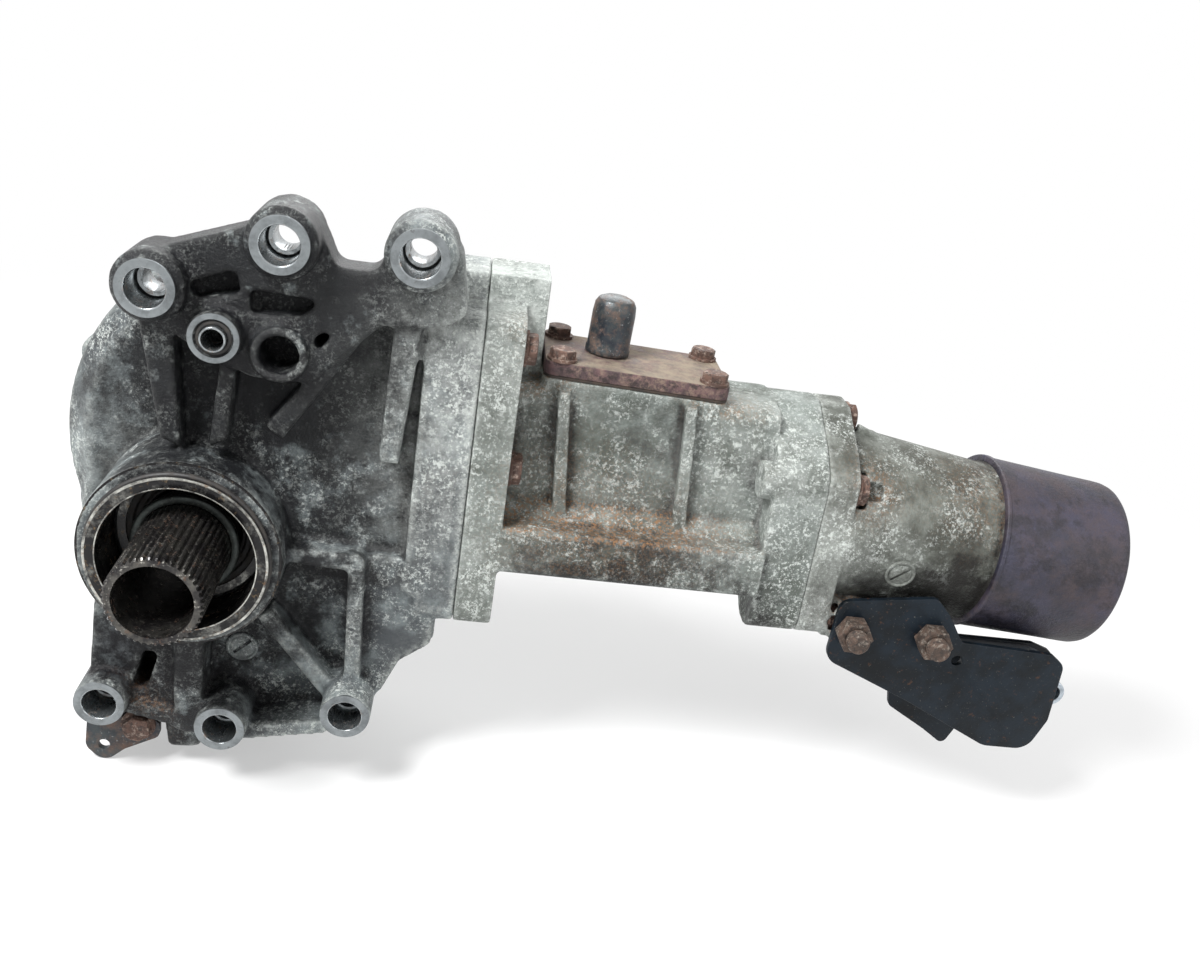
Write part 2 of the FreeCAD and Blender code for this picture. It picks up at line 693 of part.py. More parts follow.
def mounting_case():
    """Front casting: mounting bosses, ribbed panel, pilot ring, gear chamber and rear flange."""
    chamfer_end = S.drum_front + S.drum_chamfer
    slope = rod_y("drum_slope", S.drum_x, S.drum_z, S.drum_radius - S.drum_chamfer,
                  S.drum_front, chamfer_end, S.drum_radius)
    slope_limits = box(
        "slope_limits",
        (S.drum_x - S.drum_radius, S.flange1_x),
        (S.drum_front - 1, chamfer_end + 1),
        (S.drum_z - S.drum_radius - 1, S.drum_top),
    )
    house_slope = rod_y("house_slope", 0, 0, S.gear_house_radius - S.drum_chamfer / 2,
                        S.drum_front, chamfer_end, S.gear_house_radius)
    body = [
        drum("drum", S.drum_radius, S.gear_house_radius, chamfer_end, S.split_y, 0),
        common("drum_front_edge", [slope, slope_limits]),
        house_slope,
    ]
    flange_left = S.flange1_x - S.flange1_case_width
    body.append(slab("panel", [
        (-20, 106, 4), (-14, 40, 4), (-37, 10, 6), (-38, -48, 4), (-43, -76, 4), (-30, -86, 4),
        (20, -94, 8), (62, -84, 8), (84, -72, 5), (92, -52, 5), (106, -42, 3), (106, -20, 3),
        (flange_left + 4, 0, 3), (flange_left + 4, 112, 4),
    ], S.panel_front, chamfer_end, "y"))
    body.append(slab("upper_web", [
        (-24, 100, 4), (-20, 121, 6), (20, 136, 8), (48, 138, 4), (54, 125, 5), (70, 125, 5),
        (74, 139, 4), (101, 139, 6), (106, 112, 6), (96, 106, 4), (73, 104, 4), (46, 77, 6),
        (24, 77, 6), (8, 83, 6), (-8, 92, 4),
    ], S.web_front, S.upper_back, "y"))
    ribs = {
        "boss_a_rib": [(-20, 96), (-11, 46), (-3, 43), (-7, 97)],
        "passage_rib": [(12, 86), (8, 44), (15, 48), (18, 85)],
        "diagonal_rib": [(62, 102), (30, 56), (37, 51), (72, 106)],
        "boss_c_rib": [(78, 112), (76, 46), (84, 46), (90, 118)],
        "foot_f_rib": [(30, -32), (59, -68), (66, -64), (36, -28)],
        "foot_f_upright": [(67, 0), (69, -66), (76, -66), (74, 0)],
        "shelf_rib": [(38, 2), (38, -4), (72, -6), (72, 2)],
    }
    for name, corners in ribs.items():
        body.append(slab(name, corners, S.rib_front, S.drum_front + 1, "y"))
    body.append(slab("flange_shoulder", [
        (flange_left - 6, -14, 4), (flange_left + 4, -20, 2), (flange_left + 4, 116, 2),
        (flange_left - 6, 104, 4),
    ], S.rib_front + 4, S.web_back, "y"))
    body.append(slab("foot_block", [
        (74, 0, 2), (75, -66, 4), (84, -70, 4), (92, -51, 4), (105, -41, 3), (105, -22, 3), (98, 0, 2),
    ], S.rib_front + 6, S.web_back, "y"))
    body.append(slab("left_foot", [
        (-36, -18, 4), (-39, -70, 4), (-30, -81, 4), (-2, -85, 3), (-1, -38, 3),
    ], S.web_front, S.web_back, "y"))
    body.append(slab("foot_e_column", [
        (-3, -36, 3), (-2, -88, 3), (9, -90, 3), (10, -38, 3),
    ], S.web_front - 5, S.web_back, "y"))
    body.append(slab("lower_lip", [
        (-26, -81, 2), (20, -92, 5), (64, -84, 4), (66, -77, 2), (20, -84, 2), (-24, -75, 2),
    ], S.web_front - 4, S.web_back, "y"))
    body.append(slab("rear_tab", [
        (-8, -84, 2), (-6, -102, 3), (8, -101, 3), (11, -84, 2),
    ], S.rib_front, S.rib_front + 18, "y"))
    body.append(flange1_plate("case_flange", flange_left, S.flange1_x))
    body.append(box("case_block", (flange_left + 2, S.flange1_x),
                    (S.block_front, S.block_front + S.block_depth),
                    (S.drum_top - 1, S.block_top)))
    body.append(rod_y("ring_boss", 0, 0, S.ring_boss_radius, S.ring_boss_front, chamfer_end))
    body.append(rod_y("pilot", 0, 0, S.pilot_radius, -S.pilot_height, S.ring_boss_front + 1))
    for i, (x, z) in enumerate(UPPER_BOSSES):
        body.append(rod_y(f"boss_{i}", x, z, S.boss_rough_radius, S.ring_boss_front, S.upper_back))
        body.append(rod_y(f"boss_face_{i}", x, z, S.boss_face_radius, 0, S.ring_boss_front + 1))
    for i, (x, z) in enumerate(LOWER_BOSSES):
        body.append(rod_y(f"foot_{i}", x, z, S.lower_boss_radius, 0, S.lower_boss_back))
    body.append(rod_y("passage_boss", *PASSAGE, S.passage_radius, S.passage_front, S.web_back))
    body.append(rod_y("blind_boss", *BLIND_BOSS, S.blind_radius, S.passage_front + 3, S.web_back))
    body.append(rod_y("tab_boss", *TAB_BOLT, S.lug_radius, S.rib_front + S.tab_thickness,
                      S.web_back))
    for i, (x, z) in enumerate(COVER_BOLTS):
        body.append(rod_y(f"case_lug_{i}", x, z, S.lug_radius, S.split_y - S.lug_depth, S.split_y))
    solid = fuse("mounting_case_solid", body)

    wall = S.case_wall
    chamber_limits = box(
        "chamber_limits",
        (S.drum_x - S.drum_radius, S.chamber_right),
        (S.chamber_front - 1, S.split_y + 2),
        (S.drum_z - S.drum_radius, S.drum_top - wall),
    )
    chamber_disc = rod_y("chamber_disc", S.drum_x, S.drum_z, S.drum_radius - wall,
                         S.chamber_front, S.split_y + 1)
    seal_end = S.pilot_depth + S.seal_width + 1
    tools = [
        common("chamber", [chamber_disc, chamber_limits]),
        rod_y("ring_gear_room", S.shaft_x, shaft_z, ring_pitch + S.ring_gear_room,
              ring_hub_front() - 3, S.output_y + pinion_pitch + S.ring_hub_behind + 2),
        rod_y("chamber_house", 0, 0, S.gear_house_radius - wall, S.chamber_front, S.split_y + 1),
        rod_out("port", S.port_radius, 20, S.pinion_bearing_start + 4),
        rod_y("recess", 0, 0, S.pilot_bore, -S.pilot_height - 1, S.pilot_depth),
        rod_y("input_seal_seat", 0, 0, S.seal_seat, S.pilot_depth - 1, seal_end),
        rod_y("input_front_seat", 0, 0, S.input_bearing_outside, S.front_bearing_start,
              S.chamber_front + 1),
        rod_y("shaft_front_seat", S.shaft_x, shaft_z, S.shaft_bearing_outside,
              S.front_bearing_start, S.chamber_front + 1),
        rod_y("shaft_end_room", S.shaft_x, shaft_z, S.shaft_seat + 4,
              S.front_bearing_start - 2 * S.shaft_end_room, S.front_bearing_start + 1),
    ]
    groove_floor = S.pilot_radius - S.pilot_groove_depth
    groove = turned("pilot_groove", tube_profile(
        S.ring_boss_front - S.pilot_groove_width, S.ring_boss_front,
        groove_floor, S.pilot_radius + 2))
    on_y_axis(groove)
    tools.append(groove)
    for i, (x, z) in enumerate(UPPER_BOSSES + LOWER_BOSSES):
        upper = i < len(UPPER_BOSSES)
        wide = S.boss_counterbore if upper else S.lower_counterbore
        tools.append(rod_y(f"counterbore_{i}", x, z, wide, -1, S.boss_counterbore_depth))
        tools.append(rod_y(f"bolt_way_{i}", x, z, S.boss_hole, 0, chamfer_end + 1))
    tools.append(rod_y("passage_hole", *PASSAGE, S.passage_sleeve_radius, 0, S.passage_depth))
    tools.append(rod_y("passage_recess", *PASSAGE, S.passage_sleeve_radius + 2, 0,
                       S.passage_front + 2.5))
    tools.append(rod_y("blind_hole", *BLIND_BOSS, S.blind_bore, 0, S.blind_depth))
    pockets = {
        "pocket_left": [(-1, 112, 2), (2, 105.5, 1.5), (19, 110, 2), (17, 119, 2)],
        "pocket_right": [(22, 112, 2), (23, 102.5, 1.5), (42, 104, 2), (50, 111, 2)],
        "pocket_small": [(58, 103, 1.5), (47.5, 96, 1), (47.5, 88, 1)],
        "foot_slot": [(-16, -52, 2), (-21, -70, 2), (-15, -72, 2), (-10, -53, 2)],
    }
    for name, corners in pockets.items():
        floor = S.web_back - 9 if name in ("pocket_small", "foot_slot") else S.upper_back - 9
        tools.append(slab(name, corners, 0, floor, "y"))
    tools.append(holes_y("cover_threads", COVER_BOLTS, S.case_bolt, S.split_y - 14, S.split_y + 1))
    tools.append(holes_x("case_threads", FLANGE1_BOLTS, S.case_bolt, flange_left + 3,
                         S.flange1_x + 1))
    tools.append(holes_y("tab_thread", [TAB_BOLT], S.case_bolt, 0, S.rib_front + 16))
    return node(cut("mounting_case_cast", solid, fuse("mounting_case_tools", tools)),
                "mounting_case")


def flange1_plate(name, start, end):
    corner = S.flange1_corner
    bottom_back = S.flange1_bottom + 6
    return slab(name, [
        (S.flange1_front, S.flange1_bottom, corner), (S.flange1_front + 24, S.flange1_bottom, 4),
        (S.flange1_front + 32, bottom_back, 4), (S.flange1_back, bottom_back, corner),
        (S.flange1_back, S.flange1_top, corner), (S.flange1_front, S.flange1_top, corner),
    ], start, end, "x")


def flange2_plate(name, start, end):
    front, back = S.flange2_front, flange2_back
    shoulder = output_height(S.flange2_x) + 30
    waist = S.flange2_bottom + 5
    return slab(name, [
        (front, S.flange2_bottom, 7), (front + 18, S.flange2_bottom, 4), (front + 26, waist, 4),
        (back - 26, waist, 4), (back - 18, S.flange2_bottom, 4), (back, S.flange2_bottom, 7),
        (back, shoulder, 9), (S.output_y + 20, S.flange2_top - 4, 9), (S.output_y + 12, S.flange2_top, 5),
        (S.output_y - 2, S.flange2_top, 5), (front + 12, shoulder + 9, 9), (front, shoulder, 9),
    ], start, end, "x")


def middle_case():
    """Middle casting: carries both pinion bearings between its two flanges, under a cover plate."""
    start = S.flange1_x + S.flange1_middle_width
    end = S.flange2_x - S.flange2_middle_width
    low, high = S.output_y - S.body_half_width, S.output_y + S.body_half_width
    rail_front = S.flange1_front
    rail_back = S.flange1_back
    body = [
        flange1_plate("middle_flange", S.flange1_x, start),
        box("middle_block", (S.flange1_x, S.flange1_x + S.block_reach),
            (S.block_front, S.block_front + S.block_depth), (S.body_top - 20, S.block_top)),
        slab("middle_body", [
            (low, S.body_bottom, 3), (high, S.body_bottom, 3), (high, S.body_top, 6),
            (low, S.body_top, 6),
        ], start - 1, end + 1, "x"),
        flange2_plate("rear_flange", end, S.flange2_x),
    ]
    pad = slab("plate_pad", [
        (-S.plate_length / 2, -S.plate_width / 2, S.plate_corner),
        (S.plate_length / 2, -S.plate_width / 2, S.plate_corner),
        (S.plate_length / 2, S.plate_width / 2, S.plate_corner),
        (-S.plate_length / 2, S.plate_width / 2, S.plate_corner),
    ], S.body_top - S.pad_top - 10, 0, "z")
    body.append(on_plate(pad, "plate_pad_seat"))
    rail_profile = [
        (rail_front, S.rail_bottom, 2), (low + 6, S.rail_bottom, 2), (low + 6, S.body_bottom + 4),
        (low + 2, S.rail_top + S.rail_rise), (rail_front + S.rail_depth, S.rail_top),
        (rail_front, S.rail_top, 2),
    ]
    body.append(slab("front_rail", rail_profile, start - 1, end + 1, "x"))
    back_profile = [
        (rail_back, S.rail_bottom, 2), (rail_back, S.rail_top, 2), (high - 2, S.rail_top),
        (high - 2, S.rail_bottom, 2),
    ]
    body.append(slab("back_rail", back_profile, start - 1, end + 1, "x"))
    for name, top_x, foot_x in (("rib_front", 149.6, 154.5), ("rib_rear", 204.8, 208.5)):
        body.append(slab(f"{name}_near", [
            (top_x - 2.5, S.body_top), (foot_x - 3, S.rail_top + 3), (foot_x + 3, S.rail_top + 3),
            (top_x + 2.5, S.body_top),
        ], low - 5, low + 2, "y"))
        body.append(slab(f"{name}_far", [
            (top_x - 2.5, S.body_top), (foot_x - 3, S.rail_top - 3), (foot_x + 3, S.rail_top - 3),
            (top_x + 2.5, S.body_top),
        ], high - 2, high + 5, "y"))
    for i, (y, z) in enumerate(FLANGE2_BOLTS[:1]):
        body.append(rod_x(f"rear_flange_boss_{i}", y, z, S.lug_radius, end - 6, end + 2))
    solid = fuse("middle_case_solid", body)

    window = slab("window", [
        (-S.window_length / 2, -S.window_width / 2, 4), (S.window_length / 2, -S.window_width / 2, 4),
        (S.window_length / 2, S.window_width / 2, 4), (-S.window_length / 2, S.window_width / 2, 4),
    ], S.body_top - S.pad_top - 38, 1, "z")
    front_end = S.pinion_bearing_start + S.pinion_bearing_width
    rear_end = pinion_rear_bearing_start + S.bearing_width
    tools = [
        rod_out("shaft_way", S.body_half_width - S.body_wall, S.pinion_bearing_start - 10,
                rear_end + 20),
        rod_out("pinion_front_seat", S.front_pinion_bearing_outside, S.pinion_bearing_start - 10,
                front_end),
        rod_out("pinion_rear_seat", S.rear_pinion_bearing_outside, pinion_rear_bearing_start,
                rear_end + 20),
        on_plate(window, "window_seat"),
        holes_x("middle_holes", FLANGE1_BOLTS, S.case_bolt + S.hole_clearance,
                S.flange1_x - 1, start + 12),
        holes_x("retainer_threads", FLANGE2_BOLTS, S.case_bolt, end + 3, S.flange2_x + 1),
        on_plate(plate_rods("plate_threads", S.small_bolt, -14, 1), "plate_threads_seat"),
    ]
    spot_faces = holes_x("spot_faces", FLANGE1_BOLTS[:2], S.case_flats * 0.72, start, start + 12)
    tools.append(spot_faces)
    return node(cut("middle_case_cast", solid, fuse("middle_case_tools", tools)), "middle_case")


def on_plate(item, name):
    """Moves an item drawn about the cover plate's seat to where the plate sits."""
    holder = group(name, [item])
    turn = FreeCAD.Rotation(Y_AXIS, float(S.plate_tilt))
    return place(holder, plate_x, S.output_y, S.pad_top, turn, S.plate_tilt)


def plate_rods(name, radius, low, high):
    """Four upright rods at the cover plate's bolt spots, drawn about its seat."""
    rods = []
    for i, (x, y) in enumerate(plate_bolts()):
        rod = doc.addObject("Part::Cylinder", f"{name}_{i}")
        bind(rod, Radius=radius, Height=high - low)
        rods.append(place(rod, x, y, low))
    return group(name, rods)


def plate_bolts():
    x = S.plate_length / 2 - S.plate_bolt_end
    y = S.plate_width / 2 - S.plate_bolt_side
    return [(-x, -y), (-x, y), (x, -y), (x, y)]


def output_retainer():
    """Rear casting: a flange, a cone round the output shaft and the nose the dust guard is on."""
    flange_end = S.flange2_x + S.flange2_retainer_width
    collar_end = cone_end + S.collar_width
    nose_start = collar_end + S.groove_width
    nose_end = nose_start + S.nose_length
    body = [
        flange2_plate("retainer_flange", S.flange2_x, flange_end),
        rod_out("cone", S.cone_start_radius, cone_start, cone_end, S.cone_end_radius),
        rod_out("collar", S.collar_radius, cone_end, collar_end),
        rod_out("groove", S.groove_radius, collar_end - 1, nose_start + 1),
        rod_out("nose", S.nose_radius, nose_start, nose_end),
    ]
    stud_face = S.stay_front + S.stay_thickness
    boss_back = S.output_y - 10
    for i in range(2):
        x = stud_x + i * S.stud_pitch
        body.append(rod_y(f"stud_boss_{i}", x, S.stud_z, S.stud_boss_radius, stud_face, boss_back))
    web_top = S.stud_z + 6
    body.append(box("stud_web", (stud_x, stud_x + S.stud_pitch),
                    (stud_face + 7, boss_back), (S.stud_z - 7, web_top)))
    skew = slab("flange_web", [
        (flange_end - 1, S.stud_z - 8), (stud_x, S.stud_z - 8), (stud_x, S.stud_z + 8),
        (flange_end - 1, S.stud_z + 14),
    ], stud_face + 4, boss_back, "y")
    body.append(skew)
    top = slab("top_rib", [
        (flange_end - 1, output_height(S.flange2_x) + 30), (stud_x + 55, output_height(stud_x) + 20),
        (flange_end - 1, S.flange2_top - 5),
    ], S.output_y - 3, S.output_y + 5, "y")
    body.append(top)
    solid = fuse("retainer_solid", body)
    cone_wall = S.retainer_wall
    tools = [
        rod_out("retainer_mouth", S.cone_start_radius - cone_wall - 4, cone_start - 30,
                cone_start + 22, S.retainer_bore),
        rod_out("retainer_cavity", S.retainer_bore, cone_start + 20, cone_end),
        rod_out("output_way", S.output_passage, cone_end - 1, nose_end + 1),
        rod_out("output_seal_seat", S.output_seal_radius, nose_start, nose_end + 1),
        holes_x("retainer_holes", FLANGE2_BOLTS, S.case_bolt + S.hole_clearance,
                S.flange2_x - 1, flange_end + 14),
        holes_x("retainer_spot_faces", FLANGE2_BOLTS, S.case_flats * 0.72, flange_end,
                flange_end + S.case_head + 0.5),
        holes_y("stud_threads", stud_spots(), S.stud_radius, stud_face - 1, stud_face + S.stud_in),
    ]
    return node(cut("retainer_cast", solid, fuse("retainer_tools", tools)), "output_retainer")


def stud_spots():
    return [(stud_x + i * S.stud_pitch, S.stud_z) for i in range(2)]


def left_case():
    """Rear cover of the gear chamber, with both rear bearings and the left oil seal."""
    skin_end = S.split_y + S.cover_thickness
    boss_start = S.rear_bearing_start - 1
    input_boss = S.input_bearing_outside + S.cover_boss_wall
    shaft_boss = S.shaft_bearing_outside + S.cover_boss_wall
    body = [
        drum("cover_skin", S.drum_radius, S.gear_house_radius, S.split_y, skin_end, 0),
        rod_y("cover_input_dome", 0, 0, S.cover_input_radius, skin_end - 1, S.cover_input_end,
              S.cover_input_radius - 5),
        rod_y("cover_shaft_dome", S.shaft_x, shaft_z, S.cover_shaft_radius, skin_end - 1,
              S.cover_shaft_end, S.cover_shaft_radius - 5),
        rod_y("cover_input_boss", 0, 0, input_boss, boss_start, S.split_y + 1),
        rod_y("cover_shaft_boss", S.shaft_x, shaft_z, shaft_boss, boss_start, S.split_y + 1),
    ]
    for i, (x, z) in enumerate(COVER_BOLTS):
        body.append(rod_y(f"cover_lug_{i}", x, z, S.lug_radius, S.split_y, skin_end + 2))
    for i, angle in enumerate((100, 142, 184, 226, 268, 310)):
        rib = doc.addObject("Part::Box", f"cover_rib_{i}")
        bind(rib, Length=S.drum_radius - 32, Width=S.cover_rib, Height=8)
        half = S.cover_rib / 2
        rib.Placement = FreeCAD.Placement(
            FreeCAD.Vector(0, float(skin_end) + 6, 0),
            FreeCAD.Rotation(Y_AXIS, -angle) * FreeCAD.Rotation(X_AXIS, 90),
            FreeCAD.Vector(0, float(half), 0))
        body.append(trim_rib(rib, i, skin_end))
    solid = fuse("left_case_solid", body)
    tools = [
        rod_y("input_rear_seat", 0, 0, S.input_bearing_outside, boss_start - 1, rear_bearing_end),
        rod_y("left_way", 0, 0, S.seal_seat - 3, rear_bearing_end - 1, S.cover_input_end + 1),
        rod_y("left_seal_seat", 0, 0, S.seal_seat, S.cover_input_end - S.seal_width,
              S.cover_input_end + 1),
        rod_y("shaft_rear_seat", S.shaft_x, shaft_z, S.shaft_bearing_outside, boss_start - 1,
              rear_bearing_end),
        rod_y("shaft_rear_room", S.shaft_x, shaft_z, S.shaft_seat + 4, rear_bearing_end - 1,
              rear_bearing_end + 2 * S.shaft_end_room),
        holes_y("cover_holes", COVER_BOLTS, S.case_bolt + S.hole_clearance, S.split_y - 1,
                skin_end + 12),
        holes_y("cover_spot_faces", COVER_BOLTS, S.case_flats * 0.72, skin_end + 2, skin_end + 12),
        holes_y("plug_holes", PLUGS, S.plug_radius, S.split_y - 1, skin_end + 1),
    ]
    return node(cut("left_case_cast", solid, fuse("left_case_tools", tools)), "left_case")


PLUGS = [(10.0, 78.0), (70.0, -28.0)]


def trim_rib(rib, index, skin_end):
    """Keeps the part of a cover rib that lies over the cover's skin."""
    disc = rod_y(f"rib_limit_{index}", S.drum_x, S.drum_z, S.drum_radius - 2, skin_end - 1,
                 skin_end + 6)
    limits = box(f"rib_box_{index}", (S.drum_x - S.drum_radius, S.flange1_x - 2),
                 (skin_end - 2, skin_end + 7), (S.drum_z - S.drum_radius, S.drum_top - 2))
    return common(f"cover_rib_trimmed_{index}", [rib, disc, limits])


# --- gears ------------------------------------------------------------------------------------------

def involute_point(base, radius):
    """Turn, in radians, of an involute at a radius, measured from where it leaves its base."""
    ratio = max(radius / base, 1.0)
    return math.sqrt(ratio * ratio - 1) - math.acos(1 / ratio)


def tooth_flank(module, teeth, backlash, addendum, dedendum, steps=4):
    """(radius, half angle) points up one flank of a tooth, from root to tip."""
    pitch = module * teeth / 2
    base = pitch * math.cos(math.radians(S.pressure_angle))
    tip, foot = pitch + addendum, pitch - dedendum
    half_pitch = (math.pi / 2 - backlash / module) / teeth
    turn_at_pitch = involute_point(base, pitch)
    low = max(foot, base)
    points = [(foot, half_pitch + turn_at_pitch)] if foot < base else []
    for i in range(steps):
        radius = low + (tip - low) * i / (steps - 1)
        points.append((radius, half_pitch + turn_at_pitch - involute_point(base, radius)))
    return points


def gear_wire(module, teeth, backlash, addendum, dedendum, offset=0.0, steps=4):
    """Closed outline of a spur gear in its own plane, its tooth 0 centred at angle offset."""
    flank = tooth_flank(module, teeth, backlash, addendum, dedendum, steps)
    points = []
    for tooth in range(int(teeth)):
        middle = offset + 2 * math.pi * tooth / teeth
        for radius, half in flank:
            points.append(polar(radius, middle - half))
        for radius, half in reversed(flank):
            points.append(polar(radius, middle + half))
    points.append(points[0])
    return Part.makePolygon(points)


def polar(radius, angle):
    return FreeCAD.Vector(radius * math.cos(angle), radius * math.sin(angle), 0)


def code_shape(name, shape, placement):
    """A document object whose shape comes from the gear formulas above."""
    item = doc.addObject("Part::Feature", f"{name}_teeth")
    item.Shape = shape
    item.Placement = placement
    return item


def spur_rim(name, teeth, x, z, offset):
    """The toothed rim of a reduction gear, its plane across Y, seen from behind."""
    module = float(S.gear_module)
    wire = gear_wire(module, float(teeth), float(S.tooth_backlash), module, module * 1.25, offset)
    rim = Part.Face(wire).extrude(FreeCAD.Vector(0, 0, float(S.gear_width)))
    turn = FreeCAD.Rotation(X_AXIS, -90)
    base = FreeCAD.Vector(float(x), float(S.gear_front), float(z))
    return code_shape(name, rim, FreeCAD.Placement(base, turn))


def reduction_gear(label, teeth, x, z, bore, hub_radius, offset):
    """A spur gear with a raised hub and a thinned web."""
    front = S.gear_front - S.hub_overhang
    back = gear_back + S.hub_overhang
    rim_inside = S.gear_module * teeth / 2 - 6 * S.gear_module / 2
    web_depth = 4.0
    hub = rod_y(f"{label}_hub", x, z, hub_radius, front, back)
    hole = rod_y(f"{label}_bore", x, z, bore, front - 1, back + 1)
    rim = spur_rim(label, teeth, x, z, offset)
    blank = rim
    if rim_inside > hub_radius + 4:
        dishes = []
        for side, (low, high) in enumerate(((S.gear_front - 1, S.gear_front + web_depth),
                                            (gear_back - web_depth, gear_back + 1))):
            wide = rod_y(f"{label}_dish_{side}", x, z, rim_inside, low, high)
            core = rod_y(f"{label}_core_{side}", x, z, hub_radius, low - 1, high + 1)
            dishes.append(cut(f"{label}_dished_{side}", wide, core))
        blank = cut(f"{label}_blank", rim, group(f"{label}_dishes", dishes))
    whole = fuse(f"{label}_whole", [blank, hub])
    return node(cut(f"{label}_gear", whole, hole), label)


def bevel_solid(teeth, mate_teeth, offset, back, flat_radius):
    """Straight bevel gear, apex at the origin and axis along +Z, with a flat at its back."""
    module = float(S.bevel_module)
    cone_angle = math.atan2(teeth, mate_teeth)
    pitch = module * teeth / 2
    distance = pitch / math.sin(cone_angle)
    virtual_teeth = teeth / math.cos(cone_angle)
    flank = tooth_flank(module, virtual_teeth, float(S.bevel_backlash), module * 0.72,
                        module * 1.05)
    virtual_pitch = module * virtual_teeth / 2
    spread = virtual_teeth / teeth
    near, far = 1 - float(S.bevel_face) / distance, 1.0

    def on_back_cone(radius, half, middle, scale):
        rise = radius - virtual_pitch
        across = (pitch + rise * math.cos(cone_angle)) * scale
        along = (distance * math.cos(cone_angle) - rise * math.sin(cone_angle)) * scale
        angle = middle + half * spread
        return FreeCAD.Vector(across * math.cos(angle), across * math.sin(angle), along)

    wires = []
    for scale in (near, far):
        points = []
        for tooth in range(int(teeth)):
            middle = offset + 2 * math.pi * tooth / teeth
            points += [on_back_cone(r, -half, middle, scale) for r, half in flank]
            points += [on_back_cone(r, half, middle, scale) for r, half in reversed(flank)]
        wires.append(points)
    faces = []
    count = len(wires[0])
    small_centre = FreeCAD.Vector(0, 0, min(p.z for p in wires[0]))
    flat = [polar(float(flat_radius), math.atan2(p.y, p.x)) for p in wires[1]]
    for point in flat:
        point.z = float(back)
    for i in range(count):
        j = (i + 1) % count
        a, b, c, d = wires[0][i], wires[0][j], wires[1][j], wires[1][i]
        faces += [triangle(a, b, d), triangle(b, c, d), triangle(a, small_centre, b)]
        faces.append(triangle(d, c, flat[i]))
        if flat[i].distanceToPoint(flat[j]) > 1e-5:
            faces.append(triangle(c, flat[j], flat[i]))
    rim = [p for k, p in enumerate(flat) if p.distanceToPoint(flat[k - 1]) > 1e-5]
    faces.append(Part.Face(Part.makePolygon(rim + [rim[0]])))
    return Part.Solid(Part.Shell(faces))


def triangle(a, b, c):
    return Part.Face(Part.makePolygon([a, b, c, a]))


# --- turned parts -----------------------------------------------------------------------------------

def bearing(label, start, width, bore, outside, large_end_first, put):
    """A tapered bearing: the cup stays in the housing, the cone with its rollers on the shaft."""
    thin = outside - S.cup_thin
    thick = outside - S.cup_thin - S.cup_taper
    first, last = (thin, thick) if large_end_first else (thick, thin)
    end = start + width
    cup = turned(f"{label}_cup", [(start, first), (end, last), (end, outside), (start, outside)])
    cone = turned(f"{label}_cone", [
        (start, bore), (end, bore), (end, last - S.bearing_gap), (start, first - S.bearing_gap)])
    node(put(cup), f"{label}_cup")
    node(put(cone), f"{label}_cone")


def oil_seal(label, start, shaft, outside, put):
    """A lipped rubber seal: pressed outside, a thin lip at the shaft."""
    width = S.seal_width
    lip = shaft + S.seal_gap
    body = turned(label, [
        (start, lip + 1.2), (start + width * 0.4, lip), (start + width * 0.5, lip),
        (start + width * 0.6, lip + 3), (start + width, lip + 3), (start + width, outside),
        (start, outside),
    ])
    return node(put(body), label)


def input_shaft():
    """Hollow input shaft: external splines at the gearbox end, gear seat and two bearing seats."""
    seat = S.input_seat
    shoulder = gear_back + S.hub_overhang
    front = -S.input_stick_out
    end = S.cover_input_end - 2
    body = turned("input_shaft", [
        (front, S.input_bore), (end, S.input_bore), (end, seat - S.end_chamfer),
        (end - S.end_chamfer, seat), (shoulder + S.input_collar_width, seat),
        (shoulder + S.input_collar_width, S.input_collar), (shoulder, S.input_collar),
        (shoulder, S.input_gear_seat), (S.gear_front - S.hub_overhang, S.input_gear_seat),
        (S.gear_front - S.hub_overhang, seat), (S.spline_end + S.dust_ring_width, seat),
        (S.spline_end + S.dust_ring_width, S.input_radius),
        (front + S.end_chamfer, S.input_radius), (front, S.input_radius - S.end_chamfer),
    ])
    splines(body, "input_splines", S.input_radius, S.spline_depth, S.spline_count,
            front - 1, S.spline_end)
    return node(on_y_axis(body), "input_shaft")


def gear_shaft():
    """Intermediate shaft: driven gear in front of its collar, bevel ring gear behind it."""
    hub_end = gear_back + S.hub_overhang
    ring_front = ring_hub_front()
    ring_back = S.output_y + pinion_pitch + S.ring_hub_behind
    front = S.front_bearing_start - S.shaft_end_room
    end = rear_bearing_end + S.shaft_end_room
    body = turned("gear_shaft", [
        (front, 0), (end, 0), (end, S.shaft_seat), (ring_back, S.shaft_seat),
        (ring_back, S.ring_seat), (ring_front, S.ring_seat), (ring_front, S.shaft_collar),
        (hub_end, S.shaft_collar), (hub_end, S.shaft_gear_seat),
        (S.gear_front - S.hub_overhang, S.shaft_gear_seat),
        (S.gear_front - S.hub_overhang, S.shaft_seat), (front, S.shaft_seat),
    ])
    return node(on_y_axis(body, S.shaft_x, shaft_z), "gear_shaft")


def ring_hub_front():
    """Front face of the ring gear's hub, just behind the intermediate shaft's collar."""
    return gear_back + S.hub_overhang + 4


